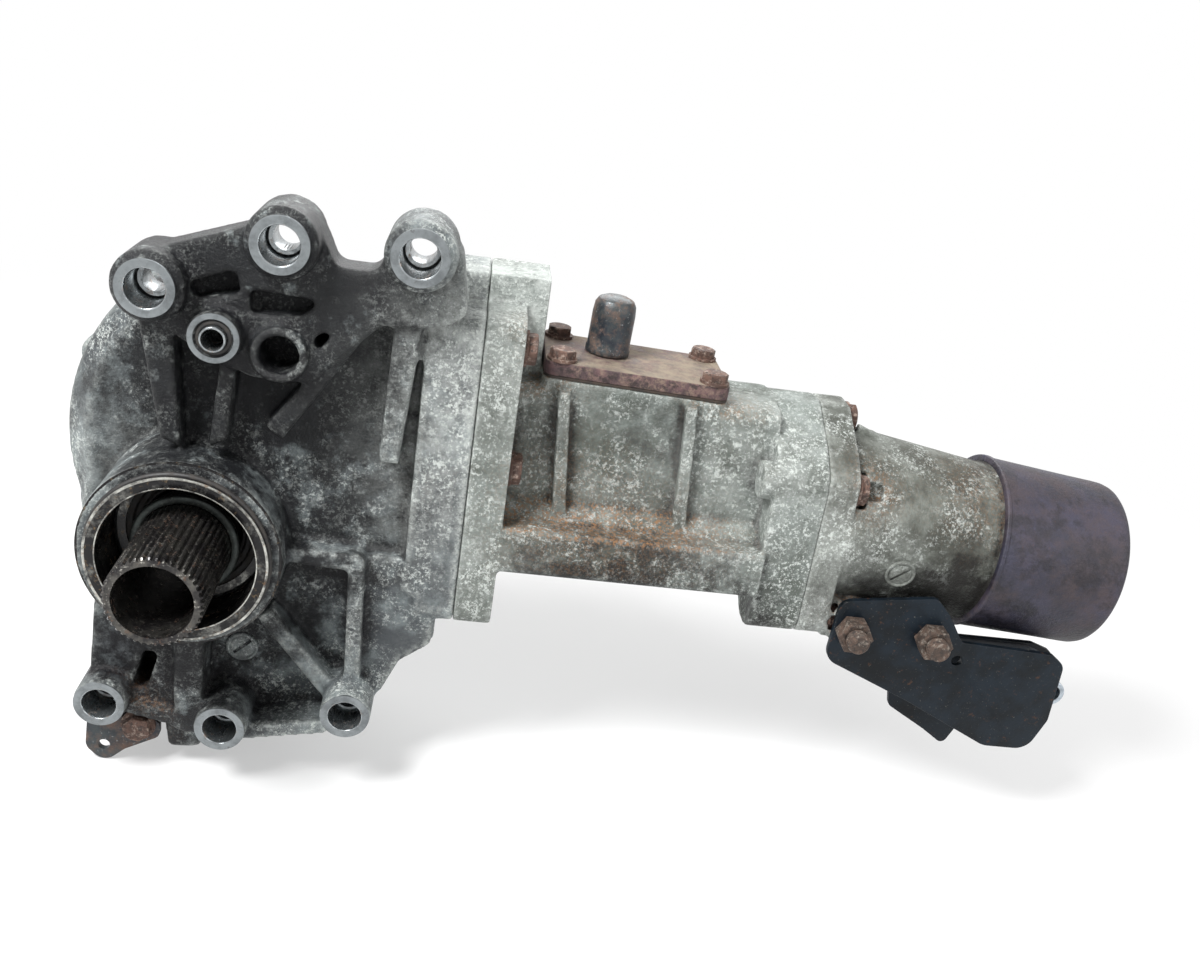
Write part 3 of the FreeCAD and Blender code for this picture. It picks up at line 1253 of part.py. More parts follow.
def pinion_shaft():
    """Output shaft with the bevel pinion on its front end and splines on its rear end."""
    pinion_end = S.pinion_back
    seat_end = S.pinion_bearing_start + S.pinion_bearing_width
    rear_start = pinion_rear_bearing_start
    nut_end = rear_start + S.bearing_width + S.lock_nut_width
    seal_start = cone_end + S.collar_width
    body = turned("pinion_shaft_stem", [
        (pinion_end, 0), (output_end, 0),
        (output_end, S.output_spline_radius - S.end_chamfer),
        (output_end - S.end_chamfer, S.output_spline_radius),
        (nut_end + 2, S.output_spline_radius), (nut_end + 2, S.pinion_rear_seat),
        (rear_start, S.pinion_rear_seat), (rear_start, S.pinion_shaft_radius),
        (seat_end, S.pinion_shaft_radius), (seat_end, S.pinion_seat),
        (S.pinion_bearing_start, S.pinion_seat), (S.pinion_bearing_start, S.pinion_seat + 2),
        (pinion_end, S.pinion_seat + 2),
    ])
    splines(body, "output_splines", S.output_spline_radius, S.output_spline_depth,
            S.output_spline_count, seal_start + 22, output_end + 1)
    stem = on_output_axis(body)
    teeth = int(S.pinion_teeth)
    head = bevel_solid(teeth, int(S.ring_teeth), math.pi / 2, pinion_end, S.pinion_seat)
    tilt = FreeCAD.Rotation(Y_AXIS, float(S.output_tilt) + 90)
    apex = FreeCAD.Vector(float(S.shaft_x), float(S.output_y), float(shaft_z))
    head_item = code_shape("pinion", head, FreeCAD.Placement(apex, tilt))
    return node(fuse("pinion_shaft_whole", [stem, head_item]), "pinion_shaft")


def ring_gear():
    """Bevel ring gear, teeth towards the mounting face, its apex on the output axis."""
    back = pinion_pitch + S.ring_hub_behind
    teeth = int(S.ring_teeth)
    start = math.radians(float(S.output_tilt)) + math.pi / teeth
    head = bevel_solid(teeth, int(S.pinion_teeth), start, back, S.ring_hub_radius + 6)
    turn = FreeCAD.Rotation(X_AXIS, -90)
    apex = FreeCAD.Vector(float(S.shaft_x), float(S.output_y), float(shaft_z))
    head_item = code_shape("ring", head, FreeCAD.Placement(apex, turn))
    hub_front, hub_back = ring_hub_front(), S.output_y + back
    hub = rod_y("ring_hub", S.shaft_x, shaft_z, S.ring_hub_radius - 6, hub_front, hub_back)
    whole = fuse("ring_whole", [head_item, hub])
    bore = fuse("ring_bores", [
        rod_y("ring_bore", S.shaft_x, shaft_z, S.ring_seat, hub_front - 20, hub_back + 1),
        rod_y("ring_front_recess", S.shaft_x, shaft_z, S.shaft_collar + 3, hub_front - 20, hub_front),
    ])
    return node(cut("ring_gear_cut", whole, bore), "ring_gear")


def lock_nut():
    """Hexagonal lock nut that holds the rear pinion bearing."""
    start = pinion_rear_bearing_start + S.bearing_width
    nut = doc.addObject("Part::Prism", "lock_nut_blank")
    nut.Polygon = 6
    bind(nut, Circumradius=S.lock_nut_radius, Height=S.lock_nut_width)
    turn = FreeCAD.Rotation(Y_AXIS, float(S.output_tilt) + 90)
    place(nut, S.shaft_x + start * cosine(S.output_tilt), S.output_y,
          shaft_z - start * sine(S.output_tilt), turn, S.output_tilt + 90)
    hole = rod_out("lock_nut_hole", S.pinion_rear_seat, start - 1, start + S.lock_nut_width + 1)
    return node(cut("lock_nut_cut", nut, hole), "pinion_lock_nut")


def turned_pieces():
    """Sleeves, rings and caps that are turned or pressed."""
    seat_end = S.pinion_bearing_start + S.pinion_bearing_width
    inner = S.pinion_shaft_radius + S.spacer_gap
    spacer = turned("bearing_spacer", tube_profile(
        seat_end, pinion_rear_bearing_start, inner, inner + S.spacer_wall))
    node(on_output_axis(spacer), "bearing_spacer")

    dust_ring = turned("input_dust_ring", tube_profile(
        S.spline_end, S.spline_end + S.dust_ring_width, S.input_radius, S.dust_ring_radius))
    node(on_y_axis(dust_ring), "input_dust_ring")

    x, z = PASSAGE
    sleeve = turned("passage_sleeve", tube_profile(
        S.passage_front - 2, S.passage_depth, S.passage_bore, S.passage_sleeve_radius))
    node(on_y_axis(sleeve, x, z), "passage_sleeve")
    rubber = turned("passage_o_ring", [
        (S.passage_front + 0.5, S.passage_sleeve_radius), (S.passage_front + 2.5, S.passage_sleeve_radius),
        (S.passage_front + 2.5, S.passage_sleeve_radius + 2),
        (S.passage_front + 0.5, S.passage_sleeve_radius + 2)])
    node(on_y_axis(rubber, x, z), "passage_o_ring")

    floor = S.pilot_radius - S.pilot_groove_depth
    low = S.ring_boss_front - S.pilot_groove_width
    high = S.ring_boss_front
    o_ring = turned("pilot_o_ring", [
        (low, floor, 0.7), (high, floor, 0.7), (high, floor + 2.8, 1.1), (low, floor + 2.8, 1.1)])
    node(on_y_axis(o_ring), "pilot_o_ring")


def dust_guard():
    """Pressed steel sleeve on the retainer's nose, necked in at its mouth."""
    start = cone_end + S.collar_width + S.groove_width
    end = start + S.guard_length
    neck = end - S.guard_taper_length
    inner = S.nose_radius
    wall = S.guard_wall
    body = turned("dust_guard", [
        (start, inner), (neck, inner), (end, S.guard_mouth), (end, S.guard_mouth + wall),
        (neck, inner + wall), (start, inner + wall),
    ])
    return node(on_output_axis(body), "dust_guard")


def cover_plate():
    """Steel plate over the middle case's window, with its gasket, bolts and vent cap."""
    half_x, half_y = S.plate_length / 2, S.plate_width / 2
    corners = [(-half_x, -half_y), (half_x, -half_y), (half_x, half_y), (-half_x, half_y)]
    for label, start, thickness in (("cover_gasket", 0, S.gasket_thickness),
                                    ("cover_plate", S.gasket_thickness, S.plate_thickness)):
        body = doc.addObject("PartDesign::Body", f"{label}_body")
        sketch = new_sketch(body, f"{label}_outline")
        outline(sketch, [(x, y, S.plate_corner) for x, y in corners])
        for x, y in plate_bolts():
            ring(sketch, x, y, S.small_bolt + S.hole_clearance)
        if label == "cover_gasket":
            outline(sketch, [
                (-S.window_length / 2, -S.window_width / 2), (S.window_length / 2, -S.window_width / 2),
                (S.window_length / 2, S.window_width / 2), (-S.window_length / 2, S.window_width / 2)])
        else:
            ring(sketch, S.vent_x, S.vent_y, S.vent_stem)
        pad = body.newObject("PartDesign::Pad", f"{label}_pad")
        pad.Profile = sketch
        bind(pad, Length=thickness)
        base = plate_point(0, 0, start)
        turn = FreeCAD.Rotation(Y_AXIS, float(S.plate_tilt))
        node(place(body, *base, turn, S.plate_tilt), label)

    cap_profile = [
        (-S.plate_thickness, 0), (S.vent_height, 0), (S.vent_height, S.vent_radius, S.vent_crown),
        (0, S.vent_radius), (0, S.vent_stem), (-S.plate_thickness, S.vent_stem)]
    cap = turned("vent_cap", cap_profile)
    base = plate_point(S.vent_x, S.vent_y, S.gasket_thickness + S.plate_thickness)
    upright = FreeCAD.Rotation(Y_AXIS, float(S.plate_tilt) - 90)
    node(place(cap, *base, upright, S.plate_tilt - 90), "vent_cap")

    turn = FreeCAD.Rotation(Y_AXIS, float(S.plate_tilt))
    bolts = []
    for i, (x, y) in enumerate(plate_bolts()):
        spot = plate_point(x, y, S.gasket_thickness + S.plate_thickness)
        head = place(hexagon(f"cover_bolt_{i}_head", S.small_flats, S.small_head), *spot, turn,
                     S.plate_tilt)
        washer = doc.addObject("Part::Cylinder", f"cover_bolt_{i}_washer")
        bind(washer, Radius=S.small_flats * 0.66, Height=S.small_head * 0.25)
        place(washer, *spot, turn, S.plate_tilt)
        shank = doc.addObject("Part::Cylinder", f"cover_bolt_{i}_shank")
        bind(shank, Radius=S.small_bolt, Height=S.gasket_thickness + S.plate_thickness + 11)
        place(shank, *plate_point(x, y, -10), turn, S.plate_tilt)
        bolts.append(fuse(f"cover_bolt_{i}", [head, washer, shank]))
    node(group("cover_bolt_set", bolts), "cover_bolts")


def plate_point(x, y, up):
    """A point given about the cover plate's seat, in the frame."""
    return (
        plate_x + x * cosine(S.plate_tilt) + up * sine(S.plate_tilt),
        S.output_y + y,
        S.pad_top - x * sine(S.plate_tilt) + up * cosine(S.plate_tilt),
    )


def fasteners():
    """Case bolts, cover bolts, retainer bolts, studs, nuts and plugs."""
    size = (S.case_bolt, S.case_flats, S.case_head)
    start = S.flange1_x + S.flange1_middle_width
    node(group("case_bolt_set", [
        bolt(f"case_bolt_{i}", (start, y, z), ROD_TO_X, *size, S.flange1_middle_width + 12)
        for i, (y, z) in enumerate(FLANGE1_BOLTS)]), "case_bolts")
    start = S.flange2_x + S.flange2_retainer_width
    node(group("retainer_bolt_set", [
        bolt(f"retainer_bolt_{i}", (start, y, z), ROD_TO_X, *size, S.flange2_retainer_width + 14)
        for i, (y, z) in enumerate(FLANGE2_BOLTS)]), "retainer_bolts")
    back = S.split_y + S.cover_thickness + 2
    node(group("left_case_bolt_set", [
        bolt(f"left_case_bolt_{i}", (x, back, z), ROD_TO_Y, *size, S.cover_thickness + 12)
        for i, (x, z) in enumerate(COVER_BOLTS)]), "left_case_bolts")
    plugs = []
    skin_end = S.split_y + S.cover_thickness
    for i, (x, z) in enumerate(PLUGS):
        head = rod_y(f"plug_head_{i}", x, z, S.plug_head, skin_end, skin_end + S.plug_height)
        thread = rod_y(f"plug_thread_{i}", x, z, S.plug_radius, S.split_y, skin_end + 1)
        socket = place(hexagon(f"plug_socket_{i}", S.plug_socket * 2, S.plug_height), x,
                       skin_end + 2, z, ROD_TO_Y)
        plugs.append(cut(f"plug_{i}", fuse(f"plug_solid_{i}", [head, thread]), socket))
    node(plugs[0], "filler_plug")
    node(plugs[1], "drain_plug")


def stay_bracket():
    """Folded steel bracket that carries the rear mounting, held by two studs and nuts."""
    front, thickness = S.stay_front, S.stay_thickness
    near_back = front + thickness
    far_front = near_back + S.stay_gap
    x, z = stud_x, S.stud_z
    near = slab("stay_near_plate", [
        (x - 8, z + 14, 6), (x - 9, z - 16, 8), (x + 34, z - 34, 6), (x + 78, z - 55, 12),
        (x + 100, z - 55, 9), (x + 106, z - 38, 6), (x + 105, z - 8, 6), (x + 98, z - 3, 4),
        (x + 53, z - 1, 4), (x + 44, z + 12, 6), (x + 36, z + 20, 5),
    ], front, near_back, "y")
    far = slab("stay_far_plate", [
        (x + 35, z - 36, 4), (x + 39, z - 54, 4), (x + 60, z - 66, 3), (x + 72, z - 74, 3),
        (x + 77, z - 62, 4), (x + 104, z - 60, 6), (x + 114, z - 44, 6), (x + 114, z - 16, 5),
        (x + 102, z - 12, 3), (x + 60, z - 12, 3),
    ], far_front, far_front + thickness, "y")
    shelf = slab("stay_shelf", [
        (front + 1, z - 4), (far_front + 1, z - 13), (far_front + 1, z - 13 - thickness),
        (front + 1, z - 4 - thickness),
    ], x + 62, x + 98, "x")
    whole = fuse("stay_whole", [near, far, shelf])
    tools = [
        holes_y("stay_stud_holes", stud_spots(), S.stud_radius + S.hole_clearance, front - 1,
                near_back + 1),
        rod_y("stay_small_hole", x + 53, z - 10.5, 2.6, front - 1, near_back + 1),
        rod_y("stay_sleeve_hole", *sleeve_spot(), S.sleeve_bore, far_front - 1,
              far_front + thickness + 1),
    ]
    node(cut("stay_cut", whole, fuse("stay_tools", tools)), "stay_bracket")
    tube = rod_y("stay_sleeve_tube", *sleeve_spot(), S.sleeve_radius, near_back, far_front)
    bore = rod_y("stay_sleeve_bore", *sleeve_spot(), S.sleeve_bore, near_back - 1, far_front + 1)
    node(cut("stay_sleeve_cut", tube, bore), "bracket_sleeve")

    studs = []
    nuts = []
    for i, (sx, sz) in enumerate(stud_spots()):
        studs.append(rod_y(f"stud_{i}", sx, sz, S.stud_radius, front - S.stud_out,
                           near_back + S.stud_in))
        blank = place(hexagon(f"nut_blank_{i}", S.nut_flats, S.nut_height), sx,
                      front - S.nut_height, sz, ROD_TO_Y)
        hole = rod_y(f"nut_hole_{i}", sx, sz, S.stud_radius, front - S.nut_height - 1, front + 1)
        nuts.append(cut(f"nut_{i}", blank, hole))
    node(group("stud_set", studs), "bracket_studs")
    node(group("nut_set", nuts), "bracket_nuts")


def sleeve_spot():
    return (stud_x + 105, S.stud_z - 25)


def harness_tab():
    """Small drilled tab under the mounting case and the bolt that holds it."""
    x, z = TAB_BOLT
    front = S.rib_front
    plate = slab("tab_plate", [
        (x - 22, z + 3, 4), (x - 23, z - 14, 6), (x - 15, z - 22, 6), (x - 6, z - 14, 5),
        (x + 9, z - 6, 4), (x + 9, z + 3, 4),
    ], front, front + S.tab_thickness, "y")
    tools = [
        rod_y("tab_bolt_hole", x, z, S.case_bolt + S.hole_clearance, front - 1,
              front + S.tab_thickness + 1),
        rod_y("tab_small_hole", x - 15, z - 12.5, S.tab_hole, front - 1,
              front + S.tab_thickness + 1),
        rod_y("tab_foot_room", *LOWER_BOSSES[0], S.lower_boss_radius + 0.3, front - 1,
              front + S.tab_thickness + 1),
    ]
    node(cut("tab_cut", plate, fuse("tab_tools", tools)), "harness_tab")
    turn = FreeCAD.Rotation(X_AXIS, 90)
    node(bolt("tab_bolt", (x, front, z), turn, S.case_bolt, S.case_flats * 0.9, S.case_head,
              S.tab_thickness + 12), "harness_tab_bolt")


# --- the whole assembly -----------------------------------------------------------------------------

mounting_case()
left_case()
middle_case()
output_retainer()
cover_plate()
dust_guard()
stay_bracket()
harness_tab()
fasteners()
turned_pieces()
input_shaft()
gear_shaft()
pinion_shaft()
ring_gear()
lock_nut()

mesh_turn = math.atan2(float(shaft_z), float(S.shaft_x))
reduction_gear("drive_gear", S.drive_teeth, 0, 0, S.input_gear_seat, S.drive_hub_radius,
               -mesh_turn)
driven_offset = math.pi - mesh_turn + math.pi / float(S.driven_teeth)
reduction_gear("driven_gear", S.driven_teeth, S.shaft_x, shaft_z, S.shaft_gear_seat,
               S.driven_hub_radius, driven_offset)

bearing("input_front", S.front_bearing_start, S.bearing_width, S.input_seat,
        S.input_bearing_outside, False, on_y_axis)
bearing("input_rear", S.rear_bearing_start, S.bearing_width, S.input_seat,
        S.input_bearing_outside, True, on_y_axis)
bearing("shaft_front", S.front_bearing_start, S.bearing_width, S.shaft_seat,
        S.shaft_bearing_outside, False, lambda body: on_y_axis(body, S.shaft_x, shaft_z))
bearing("shaft_rear", S.rear_bearing_start, S.bearing_width, S.shaft_seat,
        S.shaft_bearing_outside, True, lambda body: on_y_axis(body, S.shaft_x, shaft_z))
bearing("pinion_front", S.pinion_bearing_start, S.pinion_bearing_width, S.pinion_seat,
        S.front_pinion_bearing_outside, False, on_output_axis)
bearing("pinion_rear", pinion_rear_bearing_start, S.bearing_width, S.pinion_rear_seat,
        S.rear_pinion_bearing_outside, True, on_output_axis)

oil_seal("input_oil_seal", S.pilot_depth, S.input_seat, S.seal_seat, on_y_axis)
oil_seal("left_oil_seal", S.cover_input_end - S.seal_width, S.input_seat, S.seal_seat, on_y_axis)
oil_seal("output_oil_seal", cone_end + S.collar_width + S.groove_width + 4,
         S.output_spline_radius, S.output_seal_radius, on_output_axis)

doc.recompute()

problems = []
for item in doc.Objects:
    if "Invalid" in item.State or "Error" in item.State:
        problems.append(f"{item.Name}: {item.State}")
for item in NODES:
    if item.Shape.isNull() or not item.Shape.isValid() or not item.Shape.Solids:
        problems.append(f"{item.Label}: its shape is not a valid solid")
if problems:
    raise RuntimeError("; ".join(problems))

os.makedirs("parts", exist_ok=True)
for item in NODES:
    item.Shape.exportStep(f"parts/{item.Label}.step")
print(len(NODES), "pieces written")
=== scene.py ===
# %% [markdown]
# # A used transfer case, dressed for the camera
#
# A transfer case sends part of a car's drive to the rear axle. This one came off a car: its
# aluminium castings are chalky and oily, its bolts are rusty, and only the machined faces still
# shine. The solids come from the CAD frame. Blender's work here is the skin: the soft edges that
# a mould leaves, turned and folded parts with real edges, fasteners, and what years on a road do
# to metal.

# %% Load the frame
import json
import math

import bmesh
import bpy
import numpy as np
from mathutils import Matrix, Vector


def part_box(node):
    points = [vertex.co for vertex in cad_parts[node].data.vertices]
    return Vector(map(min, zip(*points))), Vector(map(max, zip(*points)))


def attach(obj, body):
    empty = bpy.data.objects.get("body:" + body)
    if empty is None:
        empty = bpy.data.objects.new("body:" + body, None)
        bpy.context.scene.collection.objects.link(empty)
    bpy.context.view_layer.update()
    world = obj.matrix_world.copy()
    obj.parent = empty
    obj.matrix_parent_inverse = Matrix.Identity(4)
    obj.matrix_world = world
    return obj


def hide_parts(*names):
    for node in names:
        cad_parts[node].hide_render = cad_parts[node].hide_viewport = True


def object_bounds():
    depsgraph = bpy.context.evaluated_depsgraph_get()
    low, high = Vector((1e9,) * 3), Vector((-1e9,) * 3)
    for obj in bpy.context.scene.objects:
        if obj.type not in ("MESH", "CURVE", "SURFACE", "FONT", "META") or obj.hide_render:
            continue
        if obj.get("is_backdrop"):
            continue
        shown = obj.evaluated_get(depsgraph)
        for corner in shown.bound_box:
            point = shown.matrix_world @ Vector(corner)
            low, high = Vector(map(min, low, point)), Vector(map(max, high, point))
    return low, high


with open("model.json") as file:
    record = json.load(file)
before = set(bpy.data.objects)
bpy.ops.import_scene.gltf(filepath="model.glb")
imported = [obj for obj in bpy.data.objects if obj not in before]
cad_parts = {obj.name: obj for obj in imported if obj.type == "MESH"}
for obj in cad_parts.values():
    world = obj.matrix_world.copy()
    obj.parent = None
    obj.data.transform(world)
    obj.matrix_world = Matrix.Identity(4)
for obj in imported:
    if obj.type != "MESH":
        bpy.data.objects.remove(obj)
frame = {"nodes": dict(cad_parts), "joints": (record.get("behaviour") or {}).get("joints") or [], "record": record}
cad_low, cad_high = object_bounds()
nodes = frame["nodes"]
MM = 0.001
print("CAD box in mm:", [round(v / MM, 1) for v in (*cad_low, *cad_high)])

# %% [markdown]
# ## The shafts' axes
#
# Everything round on this object turns about the input shaft's line or the output shaft's. A
# turned part then needs only its profile, in millimetres, and its axis. The input axis is the
# frame's own Y axis. The output axis leans down a little towards the rear, so it is read from its
# joint.

# %% Two axes: a point and a direction each
INPUT_AXIS = Vector((0, 0, 0)), Vector((0, 1, 0))
output_joint = next(joint for joint in frame["joints"] if joint["name"] == "output_spin")
OUTPUT_AXIS = Vector(output_joint["pos_m"]), Vector(output_joint["axis"]).normalized()
print("the output axis starts at", [round(v / MM, 1) for v in OUTPUT_AXIS[0]], "mm and leans",
      round(math.degrees(math.asin(-OUTPUT_AXIS[1].z)), 1), "degrees")

# %% [markdown]
# ## Camera
#
# The case is seen from a little above, nearly square to its mounting side. A wide lens close to
# the object gives the strong perspective: the splined tube leans out towards us. A camera looks
# down its own minus Z, so its matrix is built from three directions: right, up and back.

# %% Camera
EYE = Vector((106.5, -446.8, 237.7)) * MM
LOOK = Vector((0.122, 0.919, -0.376)).normalized()
UP = Vector((-0.109, 0.389, 0.915))
right = LOOK.cross(UP).normalized()
camera_data = bpy.data.cameras.new("camera")
camera_data.lens = 36.0
camera_data.sensor_width = 36.0
camera_data.clip_start = 0.02
camera = bpy.data.objects.new("camera", camera_data)
bpy.context.scene.collection.objects.link(camera)
turn = Matrix((right, right.cross(LOOK), -LOOK)).transposed()
camera.matrix_world = Matrix.Translation(EYE) @ turn.to_4x4()
bpy.context.scene.camera = camera
bpy.context.scene.view_settings.view_transform = "Standard"
print("camera", round(EYE.length / MM), "mm from the origin")

# %% [markdown]
# ## Two helpers for colours and nodes
#
# Colours are easiest to write as sRGB hex values, as on a paint card, but Blender mixes light in
# linear values, so one function turns the first into the second. Node trees are long in a script
# unless a node, its settings and its links fit on one line, which the other function does.

# %% Colour and node helpers


def hex_colour(text):
    """An sRGB hex colour, such as "#8a8f88", as the linear RGBA that Blender's sockets hold."""
    channels = [int(text[i:i + 2], 16) / 255 for i in (1, 3, 5)]
    linear = [c / 12.92 if c <= 0.04045 else ((c + 0.055) / 1.055) ** 2.4 for c in channels]
    return (*linear, 1.0)


def add(tree, kind, inputs=None, out=0, **settings):
    """Adds a node with its settings and links, and gives back one of its outputs."""
    node = tree.nodes.new(kind)
    for name, value in settings.items():
        setattr(node, name, value)
    for name, value in (inputs or {}).items():
        if isinstance(value, bpy.types.NodeSocket):
            tree.links.new(value, node.inputs[name])
        else:
            node.inputs[name].default_value = value
    return node.outputs[out] if len(node.outputs) else None


def new_material(name):
    """An empty node material and its tree."""
    material = bpy.data.materials.new(name)
    material.use_nodes = True
    material.node_tree.nodes.clear()
    return material, material.node_tree


print("mid grey #808080 is", round(hex_colour("#808080")[0], 3), "in linear values")

# %% [markdown]
# ## Floor and room
#
# The case stands on a pale floor in a pale room. The floor is white to the camera, and in what
# metal mirrors, but still takes the shadow. A mix by Light Path does that: plain paint to the
# light, partly glowing to us, and wholly glowing far from the case, so that no horizon shows. The
# room is white in the same way, and lights the metal more softly than it looks.

# %% Floor
NEAR, FAR = 0.4, 0.9  # metres from the origin between which the floor turns from paint to glow
NEAR_GLOW = 0.42  # how much the floor glows under the case


def seen_or_mirrored(tree):
    """1 for rays from the camera and for rays that metal mirrors or glass lets through, else 0."""
    kinds = [add(tree, "ShaderNodeLightPath", out=f"Is {kind} Ray")
             for kind in ("Camera", "Glossy", "Transmission")]
    either = add(tree, "ShaderNodeMath", {0: kinds[0], 1: kinds[1]}, operation="MAXIMUM")
    return add(tree, "ShaderNodeMath", {0: either, 1: kinds[2]}, operation="MAXIMUM")


def make_floor():
    """A wide pale sheet under the lowest point of the case."""
    mesh = bpy.data.meshes.new("floor")
    size = 40.0
    level = cad_low[2] - 0.5 * MM
    corners = [(x * size, y * size, level) for x, y in ((-1, -1), (1, -1), (1, 1), (-1, 1))]
    mesh.from_pydata(corners, [], [(0, 1, 2, 3)])
    floor = bpy.data.objects.new("floor", mesh)
    bpy.context.scene.collection.objects.link(floor)
    material, tree = new_material("white_studio_floor")
    diffuse = add(tree, "ShaderNodeBsdfDiffuse", {"Color": hex_colour("#ededed")})
    glow = add(tree, "ShaderNodeEmission", {"Color": (1, 1, 1, 1), "Strength": 1.0})
    place = add(tree, "ShaderNodeTexCoord", out="Object")
    distance = add(tree, "ShaderNodeVectorMath", {0: place}, out="Value", operation="LENGTH")
    far = add(tree, "ShaderNodeMapRange", {"Value": distance, "From Min": NEAR, "From Max": FAR,
                                           "To Min": NEAR_GLOW, "To Max": 1.0})
    amount = add(tree, "ShaderNodeMath", {0: seen_or_mirrored(tree), 1: far},
                 operation="MULTIPLY")
    mix = add(tree, "ShaderNodeMixShader", {0: amount, 1: diffuse, 2: glow})
    add(tree, "ShaderNodeOutputMaterial", {"Surface": mix})
    mesh.materials.append(material)
    floor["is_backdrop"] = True


make_floor()
print("floor at", round(cad_low[2] / MM, 1), "mm")

# %% World
ROOM_LIGHT = 0.22  # strength of the room as a lamp; seen or mirrored it is 1


def make_world():
    """A pale room: white where it is seen or mirrored, softer where it lights the metal."""
    world = bpy.data.worlds.new("studio")
    bpy.context.scene.world = world
    world.use_nodes = True
    tree = world.node_tree
    tree.nodes.clear()
    strength = add(tree, "ShaderNodeMath",
                   {0: seen_or_mirrored(tree), 1: 1 - ROOM_LIGHT, 2: ROOM_LIGHT},
                   operation="MULTIPLY_ADD")
    sky = add(tree, "ShaderNodeBackground", {"Color": (1, 1, 1, 1), "Strength": strength})
    add(tree, "ShaderNodeOutputWorld", {"Surface": sky})


make_world()
print("the room lights the case at", ROOM_LIGHT)

# %% [markdown]
# ## Lamps
#
# Three soft boxes: a small strong one at the upper left, which gives the castings their light and
# dark sides, a weak one that opens the shadows at the right, and one behind that draws a bright
# line along the top edges.

# %% Lamps


def add_lamp(name, place, target, size, power):
    """A square soft box at a place in mm, aimed at a target in mm."""
    data = bpy.data.lights.new(name, "AREA")
    data.size = size
    data.energy = power
    lamp = bpy.data.objects.new(name, data)
    bpy.context.scene.collection.objects.link(lamp)
    spot = Vector(place) * MM
    aim = (Vector(target) * MM - spot).normalized()
    lamp.matrix_world = Matrix.Translation(spot) @ aim.to_track_quat("-Z", "Y").to_matrix().to_4x4()


MIDDLE = (180, 40, 30)
add_lamp("key_from_upper_left", (-450, -450, 950), MIDDLE, 0.4, 25.0)
add_lamp("fill_from_right", (900, -500, 500), MIDDLE, 0.8, 4.0)
add_lamp("rim_from_behind", (250, 800, 700), MIDDLE, 0.8, 8.0)
print("three soft boxes are up")

# %% [markdown]
# ## Finishes that lie on each other
#
# Nothing on this case has one colour. Bare metal has stains on it, oil lies over the stains, dust
# sticks to the oil. So a finish is kept as three things, its colour, its roughness and how
# metallic it is, and a material is a stack of finishes. Two helpers are enough: one draws a mask
# of blotches whose size is given in real millimetres, the other lays a finish over the ones below
# wherever a mask says so.

# %% A mask of blotches


def blotches(tree, size, cover, edge=0.05, detail=4.0, rough=0.6, seed=0.0, stretch=(1, 1, 1)):
    """A mask of blotches about size mm across.

    cover is the share of the surface that they take, edge how soft their edge is, detail and rough
    how ragged it is. seed picks another part of the noise, stretch makes it longer one way.
    """
    place = add(tree, "ShaderNodeTexCoord", out="Object")
    moved = add(tree, "ShaderNodeVectorMath", {0: place, 1: stretch, 2: (seed, seed * 0.7, -seed)},
                operation="MULTIPLY_ADD")
    cloud = add(tree, "ShaderNodeTexNoise", {"Vector": moved, "Scale": 1.0 / (size * MM),
                                             "Detail": detail, "Roughness": rough}, out="Fac")
    middle = 0.5 + (0.5 - cover) * 0.34
    return add(tree, "ShaderNodeMapRange",
               {"Value": cloud, "From Min": middle - edge, "From Max": middle + edge},
               interpolation_type="SMOOTHSTEP")


print("blotches ready")

# %% Layers and the finished material


def lay_over(tree, under, over, where, strength=1.0, within=None):
    """Lays one finish over another; a finish is (colour, roughness, metallic)."""
    amount = add(tree, "ShaderNodeMath", {0: where, 1: strength}, operation="MULTIPLY",
                 use_clamp=True)
    if within is not None:
        amount = add(tree, "ShaderNodeMath", {0: amount, 1: within}, operation="MULTIPLY")
    result = [add(tree, "ShaderNodeMix", {"Factor": amount, 6: under[0], 7: over[0]}, out=2,
                  data_type="RGBA")]
    for low, high in zip(under[1:], over[1:]):
        if isinstance(low, float) and low == high:
            result.append(low)
        else:
            result.append(add(tree, "ShaderNodeMix", {"Factor": amount, 2: low, 3: high},
                              data_type="FLOAT"))
    return result


def close_material(tree, finish, relief, depth, strength=0.6, specular=0.5):
    """Shader and output; relief is a height mask, depth its height in mm."""
    bump = add(tree, "ShaderNodeBump",
               {"Strength": strength, "Distance": depth * MM, "Height": relief})
    shader = add(tree, "ShaderNodeBsdfPrincipled", {
        "Base Color": finish[0], "Roughness": finish[1], "Metallic": finish[2],
        "Specular IOR Level": specular, "Normal": bump})
    add(tree, "ShaderNodeOutputMaterial", {"Surface": shader})


print("layers ready")
